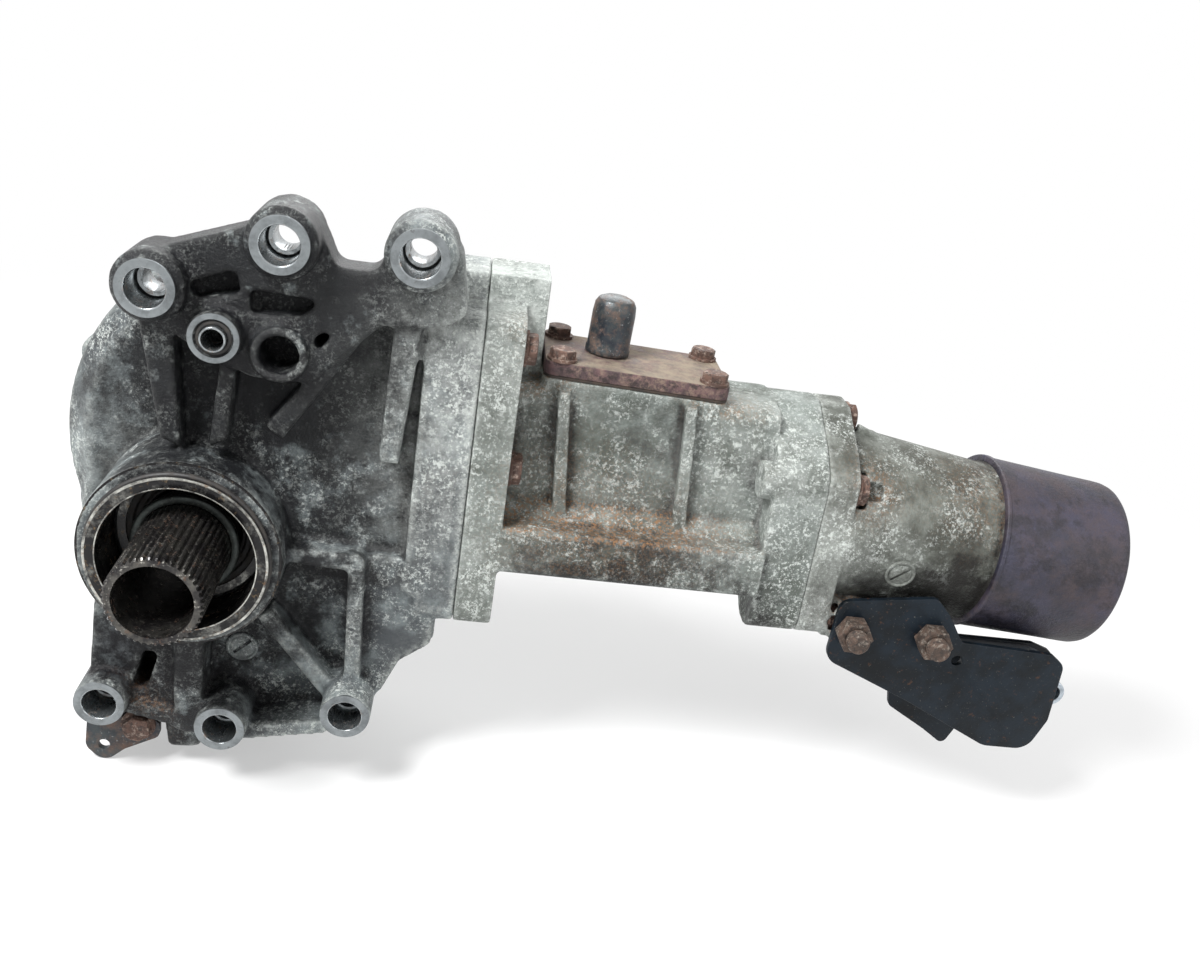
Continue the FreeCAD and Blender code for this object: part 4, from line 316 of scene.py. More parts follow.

# %% [markdown]
# ### Die-cast aluminium after years under a car
#
# Die-cast aluminium starts out bright grey. Salt and damp grow a chalky white oxide on it in
# specks, oil mist settles and holds dust until it is nearly black, and rubbing keeps the ridges
# paler. The hollows take the same near-black as painted shade as well as grime. Where each of
# these goes is painted on the mesh as numbers, one per vertex: hollow, ridge, oil, chalk and rust.
# The material adds only the fine grain. Cast skin has a sand-like grain of about 1 mm.

# %% Aged die-cast aluminium


def aged_aluminium(name, base, shade, dirt_and_shade, chalk_amount, wet, seed):
    """Cast aluminium: oxide, oil, rust dust, painted shade in hollows; chalk_amount runs 0 to 1."""
    material, tree = new_material(name)
    hollow_grime_and_shade, ridge, oil, chalk_here, rust = (
        add(tree, "ShaderNodeAttribute", out="Fac", attribute_name=mask_name)
        for mask_name in ("hollow_grime_and_shade", "ridge", "oil", "chalk", "rust"))
    metal = (hex_colour(base), 0.52, 0.45)
    tarnish = (hex_colour(shade), 0.62, 0.25)
    rubbed = (hex_colour("#b4b8b4"), 0.4, 0.8)
    grime_and_shade = (hex_colour(dirt_and_shade), wet, 0.0)
    oxide = (hex_colour("#cfd4d0"), 0.9, 0.0)
    rust_dust = (hex_colour("#916c4c"), 0.93, 0.0)
    # the metal: pale and tarnished clouds of about 30 mm, mottled at about 5 mm
    finish = lay_over(tree, metal, tarnish, blotches(tree, 30, 0.5, 0.12, 5, 0.65, seed), 0.95)
    finish = lay_over(tree, finish, tarnish,
                      blotches(tree, 5.5, 0.4, 0.14, 6, 0.75, seed + 3), 0.55)
    finish = lay_over(tree, finish, rubbed, blotches(tree, 2.4, 0.55, 0.14, 5, 0.75, seed + 4),
                      0.8, ridge)
    # grime where oil ran, grime and painted shade in hollows; broken noise keeps its edge ragged
    oil_and_hollow_shade = add(tree, "ShaderNodeMath", {0: hollow_grime_and_shade, 1: 0.95, 2: oil}, operation="MULTIPLY_ADD")
    ragged = blotches(tree, 13, 0.5, 0.22, 6, 0.75, seed + 6)
    uneven = add(tree, "ShaderNodeMath", {0: ragged, 1: 0.85, 2: 0.3}, operation="MULTIPLY_ADD")
    soaked = add(tree, "ShaderNodeMath", {0: oil_and_hollow_shade, 1: uneven}, operation="MULTIPLY")
    grime_and_shade_film = add(tree, "ShaderNodeMapRange", {"Value": soaked, "From Min": 0.1, "From Max": 0.6},
               interpolation_type="SMOOTHSTEP")
    finish = lay_over(tree, finish, grime_and_shade, grime_and_shade_film, 0.95)
    # chalk: frost-like specks under 2 mm that gather in patches and keep off the oil
    specks = add(tree, "ShaderNodeMath", {0: blotches(tree, 1.6, 0.32, 0.035, 5, 0.8, seed + 9),
                                          1: blotches(tree, 4.6, 0.29, 0.03, 7, 0.85, seed + 10)},
                 operation="MAXIMUM")
    patches = add(tree, "ShaderNodeMath", {
        0: blotches(tree, 21, 0.05 + 0.7 * chalk_amount, 0.12, 5, 0.7, seed + 12), 1: chalk_here},
        operation="ADD", use_clamp=True)
    dry = add(tree, "ShaderNodeMath", {0: grime_and_shade_film, 1: -0.8, 2: 1.0}, operation="MULTIPLY_ADD")
    chalk = add(tree, "ShaderNodeMath", {0: specks, 1: patches}, operation="MULTIPLY")
    finish = lay_over(tree, finish, oxide, chalk, 0.9, dry)
    bloom = blotches(tree, 9, 0.55, 0.2, 7, 0.8, seed + 13)
    finish = lay_over(tree, finish, oxide, chalk_here, 0.75, bloom)
    finish = lay_over(tree, finish, rust_dust, rust, 0.85,
                      blotches(tree, 1.4, 0.42, 0.05, 6, 0.85, seed + 15))
    sand = blotches(tree, 1.2, 0.5, 0.3, 4, 0.7, seed + 20)
    relief = add(tree, "ShaderNodeMath", {0: chalk, 1: 0.25, 2: sand}, operation="MULTIPLY_ADD")
    close_material(tree, finish, relief, 0.45, strength=0.7, specular=0.22)
    return material


# oily beside the gearbox, chalky in the spray behind it, brown where the bracket's rust has run
casting_front = aged_aluminium(
    "die_cast_aluminium_oily", base="#7f8788", shade="#404346", dirt_and_shade="#0a090d",
    chalk_amount=0.55, wet=0.33, seed=0.0)
casting_middle = aged_aluminium(
    "die_cast_aluminium_chalky", base="#818884", shade="#50554f", dirt_and_shade="#1c1b1a",
    chalk_amount=0.72, wet=0.42, seed=5.0)
casting_rear = aged_aluminium(
    "die_cast_aluminium_brown_stained", base="#7b7f79", shade="#444640", dirt_and_shade="#171513",
    chalk_amount=0.5, wet=0.38, seed=9.0)
print("three casting finishes")

# %% [markdown]
# ## Castings
#
# Molten aluminium is poured into a mould, so no edge of a raw casting is sharp: every inside
# corner has a fillet and every outside one is rounded. Modelling each fillet by hand would take
# days. A voxel remesh gives the whole casting one even skin instead, and a few rounds of
# smoothing round it off as the mould does. The same even skin then carries the painted masks.
#
# Every piece ends in the same few steps, so they are functions: link puts a mesh in the scene,
# bake makes modifiers final, and settle gives the material, hangs the piece on its body and
# hides the CAD nodes that it replaces.

# %% Helpers from a CAD solid to a finished piece


def weld(name):
    """A CAD node's triangles as one connected mesh, in a BMesh."""
    mesh = bmesh.new()
    mesh.from_mesh(nodes[name].data)
    bmesh.ops.remove_doubles(mesh, verts=mesh.verts, dist=2e-6)
    return mesh


def link(name, mesh):
    """A new object at the origin that holds a mesh."""
    piece = bpy.data.objects.new(name, mesh)
    bpy.context.scene.collection.objects.link(piece)
    return piece


def bake(piece):
    """Applies a piece's modifiers and gives it the plain mesh."""
    depsgraph = bpy.context.evaluated_depsgraph_get()
    mesh = bpy.data.meshes.new_from_object(piece.evaluated_get(depsgraph))
    piece.modifiers.clear()
    old = piece.data
    piece.data = mesh
    bpy.data.meshes.remove(old)
    return piece


SLOTS = {part["node"]: part["material_slot"] for part in frame["record"]["subparts"]}


def settle(piece, material, body, *replaced):
    """A finished piece gets its material, rides on its body and takes the place of CAD nodes."""
    piece.data.materials.clear()
    piece.data.materials.append(material)
    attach(piece, body)
    if replaced:
        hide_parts(*replaced)
    return piece


print(len(nodes), "CAD nodes to dress")

# %% Cast skin: remesh, smooth, thin out
TRIANGLE_LIMIT = 190000


def cast_skin(node, voxel, rounds):
    """One cast piece with a moulded skin; voxel is the grain of the skin in mm."""
    mesh = bpy.data.meshes.new(node + "_skin")
    solid = weld(node)
    solid.to_mesh(mesh)
    solid.free()
    piece = link(node + "_cast", mesh)
    remesh = piece.modifiers.new("mould", "REMESH")
    remesh.mode = "VOXEL"
    remesh.voxel_size = voxel * MM
    remesh.use_smooth_shade = True
    smooth = piece.modifiers.new("fillet", "SMOOTH")
    smooth.factor = 0.5
    smooth.iterations = rounds
    bake(piece)
    triangles = 2 * len(piece.data.polygons)
    if triangles > TRIANGLE_LIMIT:
        thin = piece.modifiers.new("thin", "DECIMATE")
        thin.ratio = TRIANGLE_LIMIT / triangles
        bake(piece)
    print(node, "skin:", len(piece.data.polygons), "faces from", triangles, "triangles")
    return piece

# %% [markdown]
# ### Stains, painted as numbers
#
# Grime gathers in corners, where the same dark is also laid as painted shade, and edges get
# rubbed, so the material has to know where corners and edges are. The mesh can tell: a vertex
# that lies outside the average of its neighbours is on an edge, and one that lies inside is in a
# corner. Stains that belong to one place are soft round spots, each written as (x, y, z, radius,
# strength) in millimetres. A picture painted by hand could do the same, but numbers need no file
# and stay sharp at any size.

# %% Corners and edges


def mask(piece, name, values):
    """Stores one number per vertex, from 0 to 1, for a material to read."""
    layer = piece.data.attributes.new(name, "FLOAT", "POINT")
    layer.data.foreach_set("value", np.clip(values, 0, 1).astype(np.float32))


KEEP = 0.3  # share of its own place that a vertex keeps in each round of averaging


def skin_shape(piece, rounds=14):
    """Place, normal and bulge of each vertex.

    The bulge is how far a vertex lies outside (+) or inside (-) the average of its neighbourhood,
    in mm: an edge bulges out, a corner between two walls bulges in.
    """
    mesh = piece.data
    count = len(mesh.vertices)
    place = np.empty(count * 3)
    mesh.vertices.foreach_get("co", place)
    place = place.reshape(-1, 3)
    normal = np.empty(count * 3, np.float32)
    mesh.vertex_normals.foreach_get("vector", normal)
    normal = normal.reshape(-1, 3)
    edges = np.empty(len(mesh.edges) * 2, np.int64)
    mesh.edges.foreach_get("vertices", edges)
    a, b = edges.reshape(-1, 2).T
    degree = np.maximum(np.bincount(np.concatenate((a, b)), minlength=count), 1)[:, None]
    average = place.copy()
    for _ in range(rounds):
        total = np.zeros_like(average)
        for axis in range(3):
            total[:, axis] = (np.bincount(a, average[b, axis], count)
                              + np.bincount(b, average[a, axis], count))
        average = KEEP * average + (1 - KEEP) * total / degree
    return place, normal, ((place - average) * normal).sum(1) / MM


print("skin shape ready")

# %% Stains


def splash(place, spots):
    """Sum of soft round stains; each is (x, y, z, radius in mm, strength)."""
    amount = np.zeros(len(place))
    for x, y, z, radius, strength in spots:
        distance = np.linalg.norm(place / MM - np.array((x, y, z)), axis=1)
        amount += strength * np.exp(-(distance / radius) ** 2)
    return amount


HOLLOW_SHADE_DEPTH = 1.6  # mm at which a hollow holds all the grime and painted shade it can
RIDGE_HEIGHT = 1.1  # mm at which a ridge is rubbed all over


def paint_casting(piece, oil=(), rust=(), chalk=(), oil_everywhere=0.0):
    """Writes the five masks that the casting material reads, from lists of soft round stains."""
    place, normal, bulge = skin_shape(piece)
    looks_up = np.clip(normal[:, 2] * 1.4 + 0.25, 0, 1)
    # the hollow mask gives grime and painted shade in corners
    mask(piece, "hollow_grime_and_shade", -bulge / HOLLOW_SHADE_DEPTH)
    mask(piece, "ridge", bulge / RIDGE_HEIGHT)
    mask(piece, "oil", oil_everywhere + splash(place, oil))
    mask(piece, "chalk", splash(place, chalk))
    mask(piece, "rust", splash(place, rust) * looks_up)


print("paint ready")

# %% The mounting case
FRONT_OIL = [
    (-10, 15, 112, 34, 0.9), (35, 20, 120, 44, 1.0), (22, 20, 88, 38, 0.9), (86, 20, 122, 28, 0.55),
    (-22, 25, 70, 28, 0.5), (60, 25, 78, 34, 0.65), (0, 15, 45, 24, 0.5), (-28, 20, -50, 26, 0.6),
    (72, 25, 20, 40, 0.45), (50, 25, -30, 45, 0.38), (10, 20, -70, 30, 0.55),
    (-20, 15, -95, 24, 0.9),
    (0, 10, 0, 52, 0.4), (-50, 60, 40, 50, 0.4),
]
FRONT_CHALK = [(104, 30, 72, 30, 0.6), (106, 30, 24, 28, 0.5), (-45, 60, 20, 30, 0.25),
               (118, 60, 112, 26, 1.0), (110, 28, 112, 24, 0.9)]
FRONT_RUST = [(-18, 20, -88, 16, 0.9), (100, 24, 40, 16, 0.4)]
mounting_case = cast_skin("mounting_case", voxel=1.15, rounds=5)
paint_casting(mounting_case, FRONT_OIL, FRONT_RUST, FRONT_CHALK)
settle(mounting_case, casting_front, "housing", "mounting_case")

# %% The middle case
middle_case = cast_skin("middle_case", voxel=1.0, rounds=4)
paint_casting(
    middle_case,
    oil=[(150, 18, 4, 22, 0.55), (185, 18, 4, 24, 0.6), (222, 18, 4, 24, 0.5),
         (250, 20, -15, 20, 0.5), (190, 40, 60, 30, 0.35), (140, 40, 60, 20, 0.35),
         (240, 40, 50, 14, 0.4)],
    rust=[(150, 28, 26, 30, 1.3), (178, 26, 25, 26, 1.2), (215, 26, 24, 26, 0.7),
          (140, 40, 84, 16, 0.9), (220, 40, 84, 18, 0.8), (134, 27, 45, 12, 1.0),
          (134, 27, 98, 12, 1.0)],
    chalk=[(126, 60, 112, 26, 1.2), (122, 30, 90, 28, 0.7), (230, 40, 40, 30, 0.4),
           (122, 25, 0, 20, 0.5), (256, 25, 60, 26, 0.4)],
    oil_everywhere=0.05)
settle(middle_case, casting_middle, "housing", "middle_case")

# %% The output retainer and the left case
output_retainer = cast_skin("output_retainer", voxel=0.9, rounds=4)
paint_casting(
    output_retainer,
    oil=[(300, 30, -10, 30, 0.7), (345, 40, 10, 30, 0.5), (365, 60, 40, 30, 0.5),
         (330, 30, 0, 26, 0.4)],
    rust=[(288, 30, 50, 14, 0.9), (288, 30, -10, 14, 0.9), (345, 40, 50, 26, 0.4)],
    chalk=[(276, 25, 30, 22, 0.5), (275, 25, -12, 14, 0.7)],
    oil_everywhere=0.1)
settle(output_retainer, casting_rear, "housing", "output_retainer")

left_case = cast_skin("left_case", voxel=1.1, rounds=4)
paint_casting(left_case, oil=[(30, 112, 20, 50, 0.4), (10, 115, -40, 40, 0.45)],
              chalk=[(60, 120, 60, 40, 0.3)], oil_everywhere=0.1)
settle(left_case, casting_middle, "housing", "left_case")
print("castings:", [round(len(p.data.polygons) / 1000) for p in
                    (mounting_case, middle_case, output_retainer, left_case)], "thousand faces")

# %% [markdown]
# ## Turned parts
#
# A lathe cuts or rolls everything round: bearing seats, the splined tube, the dust guard. In
# Blender such a part is a profile carried round an axis. The profile here is a closed loop of
# points, each (distance along the axis, radius), in millimetres, so the result is a closed solid
# with an inside. A bevel then breaks its edges, because a real turned edge is never razor sharp,
# and it is that small bright line along an edge that makes metal read as metal.

# %% Edges
SHARP = 34  # degrees between two faces above which their edge is shown sharp


def soften(piece, width, segments=2, angle=30):
    """Bevels the sharp edges by width mm and shades the rest smooth."""
    if width:
        bevel = piece.modifiers.new("edges", "BEVEL")
        bevel.width = width * MM
        bevel.segments = segments
        bevel.limit_method = "ANGLE"
        bevel.angle_limit = math.radians(angle)
        bevel.harden_normals = False
        bake(piece)
    piece.data.shade_smooth()
    piece.data.set_sharp_from_angle(angle=math.radians(SHARP))
    return piece


print("edges ready")

# %% Lathe


def lathe(name, profile, axis, steps=96, width=0.3, start=0.0):
    """A closed turned solid: the profile's (along, radius) points in mm carried round an axis."""
    origin, along = axis
    side = along.orthogonal().normalized()
    other = along.cross(side)
    mesh = bmesh.new()
    rings = []
    for distance, radius in profile:
        centre = origin + along * (start + distance) * MM
        if radius < 1e-6:
            rings.append([mesh.verts.new(centre)])
            continue
        angles = [2 * math.pi * i / steps for i in range(steps)]
        rings.append([mesh.verts.new(
            centre + (side * math.cos(a) + other * math.sin(a)) * radius * MM) for a in angles])
    for one, two in zip(rings, rings[1:] + rings[:1]):
        for i in range(steps):
            corners = [one[i % len(one)], one[(i + 1) % len(one)],
                       two[(i + 1) % len(two)], two[i % len(two)]]
            unique = list(dict.fromkeys(corners))
            if len(unique) > 2:
                mesh.faces.new(unique)
    bmesh.ops.recalc_face_normals(mesh, faces=mesh.faces)
    data = bpy.data.meshes.new(name)
    mesh.to_mesh(data)
    mesh.free()
    return soften(link(name, data), width)


def along_y(x, z):
    """An axis through (x, z) that points into the case, in mm."""
    return Vector((x, 0, z)) * MM, INPUT_AXIS[1]


print("lathe ready")

# %% [markdown]
# ### Machined faces
#
# After casting, a milling cutter cleans the places that other parts touch: the six mounting faces
# and the ring that centres the case on the gearbox. They stay bright when the rest goes dull. A
# thin liner lies just over the cast skin there, so the bright face gets its crisp edge back.
# Cutter marks are about 0.4 mm apart.

# %% Machined aluminium
# milled aluminium is a flat soft grey, with stains and a fine line pattern from the cutter
machined_aluminium, tree = new_material("milled_aluminium_face")
finish = lay_over(tree, (hex_colour("#8b9092"), 0.36, 0.95), (hex_colour("#65696b"), 0.46, 0.9),
                  blotches(tree, 9, 0.45, 0.14, 5, 0.7, 2.0), 0.8)
finish = lay_over(tree, finish, (hex_colour("#3a3532"), 0.45, 0.3),
                  blotches(tree, 4, 0.12, 0.05, 6, 0.8, 4.0), 0.85)
marks = blotches(tree, 0.45, 0.5, 0.3, 2, 0.5, 1.0, stretch=(1, 1, 0.05))
close_material(tree, finish, marks, 0.02, 0.4)

# the bolt has polished the wall inside each boss, so it throws hard bright streaks
polished_bore, tree = new_material("polished_aluminium_bore")
finish = lay_over(tree, (hex_colour("#a5aaac"), 0.24, 0.95), (hex_colour("#6d7173"), 0.34, 0.9),
                  blotches(tree, 3, 0.45, 0.14, 5, 0.7, 2.0, stretch=(1, 0.3, 1)), 0.8)
finish = lay_over(tree, finish, (hex_colour("#8a6b52"), 0.6, 0.4),
                  blotches(tree, 4, 0.2, 0.06, 6, 0.8, 4.0), 0.6)
close_material(tree, finish, blotches(tree, 1.2, 0.5, 0.3, 4, 0.6, 3.0), 0.03, 0.4)

# centring ring, turned smooth then soaked in oil: black, partly painted recess shade; wet shine
oil_and_shade_black_ring, tree = new_material("turned_aluminium_black_with_oil_and_painted_shade")
finish = lay_over(tree, (hex_colour("#73736f"), 0.24, 1.0), (hex_colour("#0d0c0f"), 0.2, 0.4),
                  blotches(tree, 10, 0.78, 0.1, 6, 0.75, 4.0), 0.97)
finish = lay_over(tree, finish, (hex_colour("#6d5a40"), 0.5, 0.3),
                  blotches(tree, 3.5, 0.18, 0.05, 6, 0.8, 6.0), 0.6)
close_material(tree, finish, blotches(tree, 2.0, 0.5, 0.3, 4, 0.6, 5.0), 0.05, 0.5, 0.4)

# the ring's two lips are bare where the gearbox rubbed them, brown or black where oil has baked on;
# their pale bare patches are also a painted highlight
lip_wear_and_highlight, tree = new_material("turned_aluminium_lip_wear_and_painted_highlight")
finish = lay_over(tree, (hex_colour("#c6c6bf"), 0.28, 1.0), (hex_colour("#1c1a1b"), 0.3, 0.4),
                  blotches(tree, 9, 0.5, 0.14, 6, 0.75, 3.0), 0.95)
finish = lay_over(tree, finish, (hex_colour("#6d5138"), 0.55, 0.3),
                  blotches(tree, 5, 0.26, 0.06, 6, 0.8, 8.0), 0.7)
close_material(tree, finish, blotches(tree, 1.6, 0.5, 0.3, 4, 0.6, 5.0), 0.05, 0.5)
print("four machined finishes")

# %% Face rings of the six bosses
UPPER_BOSSES = [(-13.4, 110.9), (34.7, 133.4), (86.1, 135.3)]
LOWER_BOSSES = [(-31.3, -72.9), (18.9, -80.6), (71.7, -68.8)]
# radius of the milled face, radius of the counterbore, and how far in the bolt hole ends
UPPER_SIZES = (11.2, 7.9, 30.2)
LOWER_SIZES = (10.6, 7.4, 40.2)
for index, (x, z) in enumerate(UPPER_BOSSES + LOWER_BOSSES):
    face, wide, back = UPPER_SIZES if index < len(UPPER_BOSSES) else LOWER_SIZES
    liner = lathe(f"boss_face_{index + 1}", [
        (-0.03, face), (2.2, face), (2.2, face - 1.0), (0.9, face - 1.0), (0.9, wide + 0.5),
        (0.2, wide + 0.1), (-0.03, wide + 0.3)], along_y(x, z), steps=72, width=0.3)
    settle(liner, machined_aluminium, "housing")
    bore = lathe(f"boss_bore_{index + 1}", [
        (0.05, wide + 0.25), (0.05, wide - 0.1), (0.6, wide - 0.35), (15.6, wide - 0.35),
        (15.6, 5.35), (back, 5.35), (back, 6.0), (16.4, 6.0), (16.4, wide + 0.25)],
        along_y(x, z), steps=72, width=0.2)
    settle(bore, polished_bore, "housing")
print("six boss faces and bores")

# %% Face round the oil passage
PASSAGE = along_y(11.0, 93.5)
liner = lathe("passage_face", [
    (3.96, 9.9), (5.2, 9.9), (5.2, 9.2), (4.6, 9.2), (4.6, 7.6), (3.96, 7.6)], PASSAGE,
    steps=72, width=0.25)
settle(liner, machined_aluminium, "housing")
print("oil passage faced")

# %% Centring ring, its recess and the seal's seat
pilot = lathe("centring_ring_liner", [
    (-2.03, 31.7), (-2.03, 36.8), (-0.2, 36.8), (-0.2, 35.3), (3.2, 35.3), (3.2, 41.2), (3.9, 41.2),
    (3.9, 34.6), (1.2, 34.6), (1.2, 32.3), (26.6, 32.3), (26.6, 27.9), (34, 27.9), (34, 27.4),
    (26.1, 27.4), (26.1, 31.7)], INPUT_AXIS, steps=144, width=0.35)
settle(pilot, oil_and_shade_black_ring, "housing")
LIPS = ((35.7, 36.75), (31.75, 32.3))
for index, (inner, outer) in enumerate(LIPS):
    edge = lathe(f"centring_ring_lip_wear_and_highlight_{index + 1}", [
        (-2.08, inner), (-2.08, outer), (-1.6, outer + 0.1), (-1.6, inner)], INPUT_AXIS,
        steps=144, width=0.12)
    settle(edge, lip_wear_and_highlight, "housing")
print("centring ring with", len(LIPS), "worn lips")

# %% [markdown]
# ### The splined input tube
#
# The gearbox drives this tube through 44 splines, rolled into hardened steel. Their ends run out
# where the rolling tool lifted. They are made as a wave on the tube's radius: each spline is
# eight points round, and the wave fades to nothing at the run-out.

# %% Oiled hardened steel
# hardened steel under old oil is nearly black, with bright rubbed flecks and a few brown ones
splined_steel, tree = new_material("oiled_hardened_steel")
finish = lay_over(tree, (hex_colour("#5b5955"), 0.26, 0.95), (hex_colour("#1b191b"), 0.24, 0.5),
                  blotches(tree, 8, 0.6, 0.12, 5, 0.7, 3.0), 0.95)
finish = lay_over(tree, finish, (hex_colour("#c9c6bd"), 0.24, 1.0),
                  blotches(tree, 2.2, 0.16, 0.05, 6, 0.8, 7.0), 0.7)
finish = lay_over(tree, finish, (hex_colour("#5f4533"), 0.8, 0.1),
                  blotches(tree, 3.5, 0.14, 0.05, 6, 0.8, 8.0), 0.7)
close_material(tree, finish, blotches(tree, 1.4, 0.5, 0.3, 3, 0.6, 5.0), 0.05, 0.4)
print("tube steel")

# %% Input tube
SPLINES = 44
TOOTH = (1, 1, 0.55, 0, 0, 0, 0.55, 1)  # depth round one spline, from a groove to the next
# each ring of the tube: (along Y, radius, depth of the splines there), in mm
TUBE = [(-37, 15.5, 0), (-37, 18.2, 0.4), (-36.2, 19, 1), (8, 19, 1), (12, 19, 0), (15, 19, 0),
        (15, 20, 0), (53, 20, 0), (53, 22, 0), (73, 22, 0), (73, 27, 0), (77, 27, 0), (77, 20, 0),
        (123.2, 20, 0), (124, 19.2, 0), (124, 15.5, 0)]


def splined_tube():
    """The input tube with its splines, as one closed mesh."""
    mesh = bmesh.new()
    count = SPLINES * len(TOOTH)
    rings = []
    for along, radius, depth in TUBE:
        ring = []
        for i in range(count):
            r = radius - depth * TOOTH[i % len(TOOTH)]
            a = 2 * math.pi * i / count
            ring.append(mesh.verts.new(Vector((r * math.cos(a), along, r * math.sin(a))) * MM))
        rings.append(ring)
    for one, two in zip(rings, rings[1:] + rings[:1]):
        for i in range(count):
            mesh.faces.new((one[i], one[(i + 1) % count], two[(i + 1) % count], two[i]))
    bmesh.ops.recalc_face_normals(mesh, faces=mesh.faces)
    data = bpy.data.meshes.new("input_tube")
    mesh.to_mesh(data)
    mesh.free()
    return soften(link("input_tube", data), 0.0)


settle(splined_tube(), splined_steel, "input", "input_shaft")
print(SPLINES, "splines")

# %% [markdown]
# ### Dust ring and oil seals
#
# A thin pressed ring turns with the tube and throws mud off before it reaches the seal. The seal
# itself is a rubber cup whose lip rides on the shaft, pulled tight by a small spring inside,
# which shows as a bulge. Both are turned shapes, so both come from the lathe.

# %% Dust ring
# zinc plate gone dull, darkened as painted shade of its recess: dark grey with pale powdery spots
pressed_steel, tree = new_material("dull_zinc_steel_with_painted_recess_shade")
finish = lay_over(tree, (hex_colour("#3d4240"), 0.4, 0.75), (hex_colour("#1b1e1d"), 0.5, 0.4),
                  blotches(tree, 7, 0.5, 0.12, 5, 0.7, 2.0), 0.8)
finish = lay_over(tree, finish, (hex_colour("#5f635d"), 0.8, 0.1),
                  blotches(tree, 2, 0.2, 0.05, 4, 0.75, 5.0), 0.6)
close_material(tree, finish, blotches(tree, 2.0, 0.5, 0.3, 3, 0.6, 4.0), 0.06)
ring = lathe("input_dust_ring_turned", [
    (12.1, 19.2), (12.1, 21.4), (12.6, 22.3), (14.9, 22.3), (14.9, 21.2), (13.4, 20.6),
    (13.4, 19.2)], INPUT_AXIS, steps=120, width=0.25)
settle(ring, pressed_steel, "input", "input_dust_ring")
print("dust ring turns with the tube")

# %% Oil seals
# moulded rubber is a soft black, browner and duller where dust has stuck
nitrile_rubber, tree = new_material("dusty_nitrile_rubber")
finish = lay_over(tree, (hex_colour("#1a1919"), 0.55, 0.0), (hex_colour("#3a3632"), 0.85, 0.0),
                  blotches(tree, 4, 0.4, 0.1, 5, 0.7, 1.0), 0.8)
close_material(tree, finish, blotches(tree, 1.5, 0.5, 0.3, 3, 0.6, 2.0), 0.08)


SEAL_WIDTH = 8


def seal(name, node, start, shaft, seat, axis, facing):
    """A radial oil seal: a cupped case, a lip on the shaft and a garter spring's bulge.

    shaft and seat are the radii that it sits between; facing is 1 for a lip towards the start of
    the axis and -1 for the other way round.
    """
    profile = [(0.1, seat - 0.05), (0.1, seat - 3.0), (1.6, seat - 3.6), (1.6, shaft + 2.4),
               (0.4, shaft + 1.6), (0.4, shaft + 0.7), (1.6, shaft + 0.1), (4.4, shaft + 0.1),
               (5.6, shaft + 1.6), (5.0, shaft + 3.0), (3.0, shaft + 3.2), (3.0, seat - 2.2),
               (7.8, seat - 2.0), (7.8, seat - 0.05)]
    points = [(start + (along if facing > 0 else SEAL_WIDTH - along), radius)
              for along, radius in profile]
    settle(lathe(name, points, axis, width=0.25), nitrile_rubber, "housing", node)


seal("input_seal_moulded", "input_oil_seal", start=27, shaft=20.05, seat=28, axis=INPUT_AXIS,
     facing=1)
seal("left_seal_moulded", "left_oil_seal", start=118, shaft=20.05, seat=28, axis=INPUT_AXIS,
     facing=-1)
print("two seals on the input tube")

# %% [markdown]
# ### Dust guard
#
# A pressed steel sleeve keeps mud off the propeller shaft's yoke. It is pushed over the
# retainer's collar as far as its lip, and its open end is rolled in, which stiffens it. A bare
# tube with a Solidify modifier would do for the wall, but one closed lathe profile gives wall,
# lip and rolled end together. Its paint has gone a dull blue and brown, with rust coming through
# in freckles.

# %% Paint that rust has come through
# sprayed black paint, gone chalky blue, with an orange-peel skin and brown where it is thin
guard_paint, tree = new_material("rusting_black_paint_on_pressed_steel")
finish = lay_over(tree, (hex_colour("#262632"), 0.42, 0.1), (hex_colour("#3d3b4b"), 0.52, 0.1),
                  blotches(tree, 26, 0.5, 0.14, 5, 0.65, 1.0), 0.9)
finish = lay_over(tree, finish, (hex_colour("#4a3d3b"), 0.66, 0.05),
                  blotches(tree, 30, 0.42, 0.14, 6, 0.8, 3.0), 0.6)
finish = lay_over(tree, finish, (hex_colour("#17141a"), 0.4, 0.1),
                  blotches(tree, 11, 0.34, 0.08, 5, 0.7, 5.0), 0.7)
finish = lay_over(tree, finish, (hex_colour("#6b4a3a"), 0.9, 0.0),
                  blotches(tree, 1.7, 0.07, 0.03, 6, 0.85, 7.0), 0.7)
orange_peel = blotches(tree, 1.8, 0.5, 0.3, 4, 0.65, 9.0)
close_material(tree, finish, orange_peel, 0.32, strength=0.8, specular=0.4)
print("guard paint")

# %% Guard
GUARD_START = 307.0  # mm along the output axis, behind the collar
guard = lathe("dust_guard_pressed", [
    (-12.6, 38.6), (-12.6, 41.3), (-12.0, 41.7), (-10.8, 41.7), (-10.2, 41.0), (30, 40.1),
    (44, 39.9), (47.5, 39.75), (49.6, 39.2), (50.8, 38.2), (51.0, 37.2),
    (50.4, 36.6), (49.6, 37.0), (48.6, 37.9), (46.5, 38.25)],
    OUTPUT_AXIS, steps=160, width=0.25, start=GUARD_START)
settle(guard, guard_paint, "housing", "dust_guard")
seal("output_seal_moulded", "output_oil_seal", start=GUARD_START + 4, shaft=14.55, seat=26,
     axis=OUTPUT_AXIS, facing=1)
print("guard and the seal behind it")

# %% [markdown]
# ## Sheet, plate and forged parts
#
# The cover plate, the bracket and the tab are cut from sheet steel, so their CAD outlines are
# already right, and what they lack is worn edges. The CAD mesh is loose triangles. Merging its
# points and dissolving the flat ones gives clean faces, and a bevel then rounds the real edges
# only.

# %% Clean copy of a CAD solid with broken edges


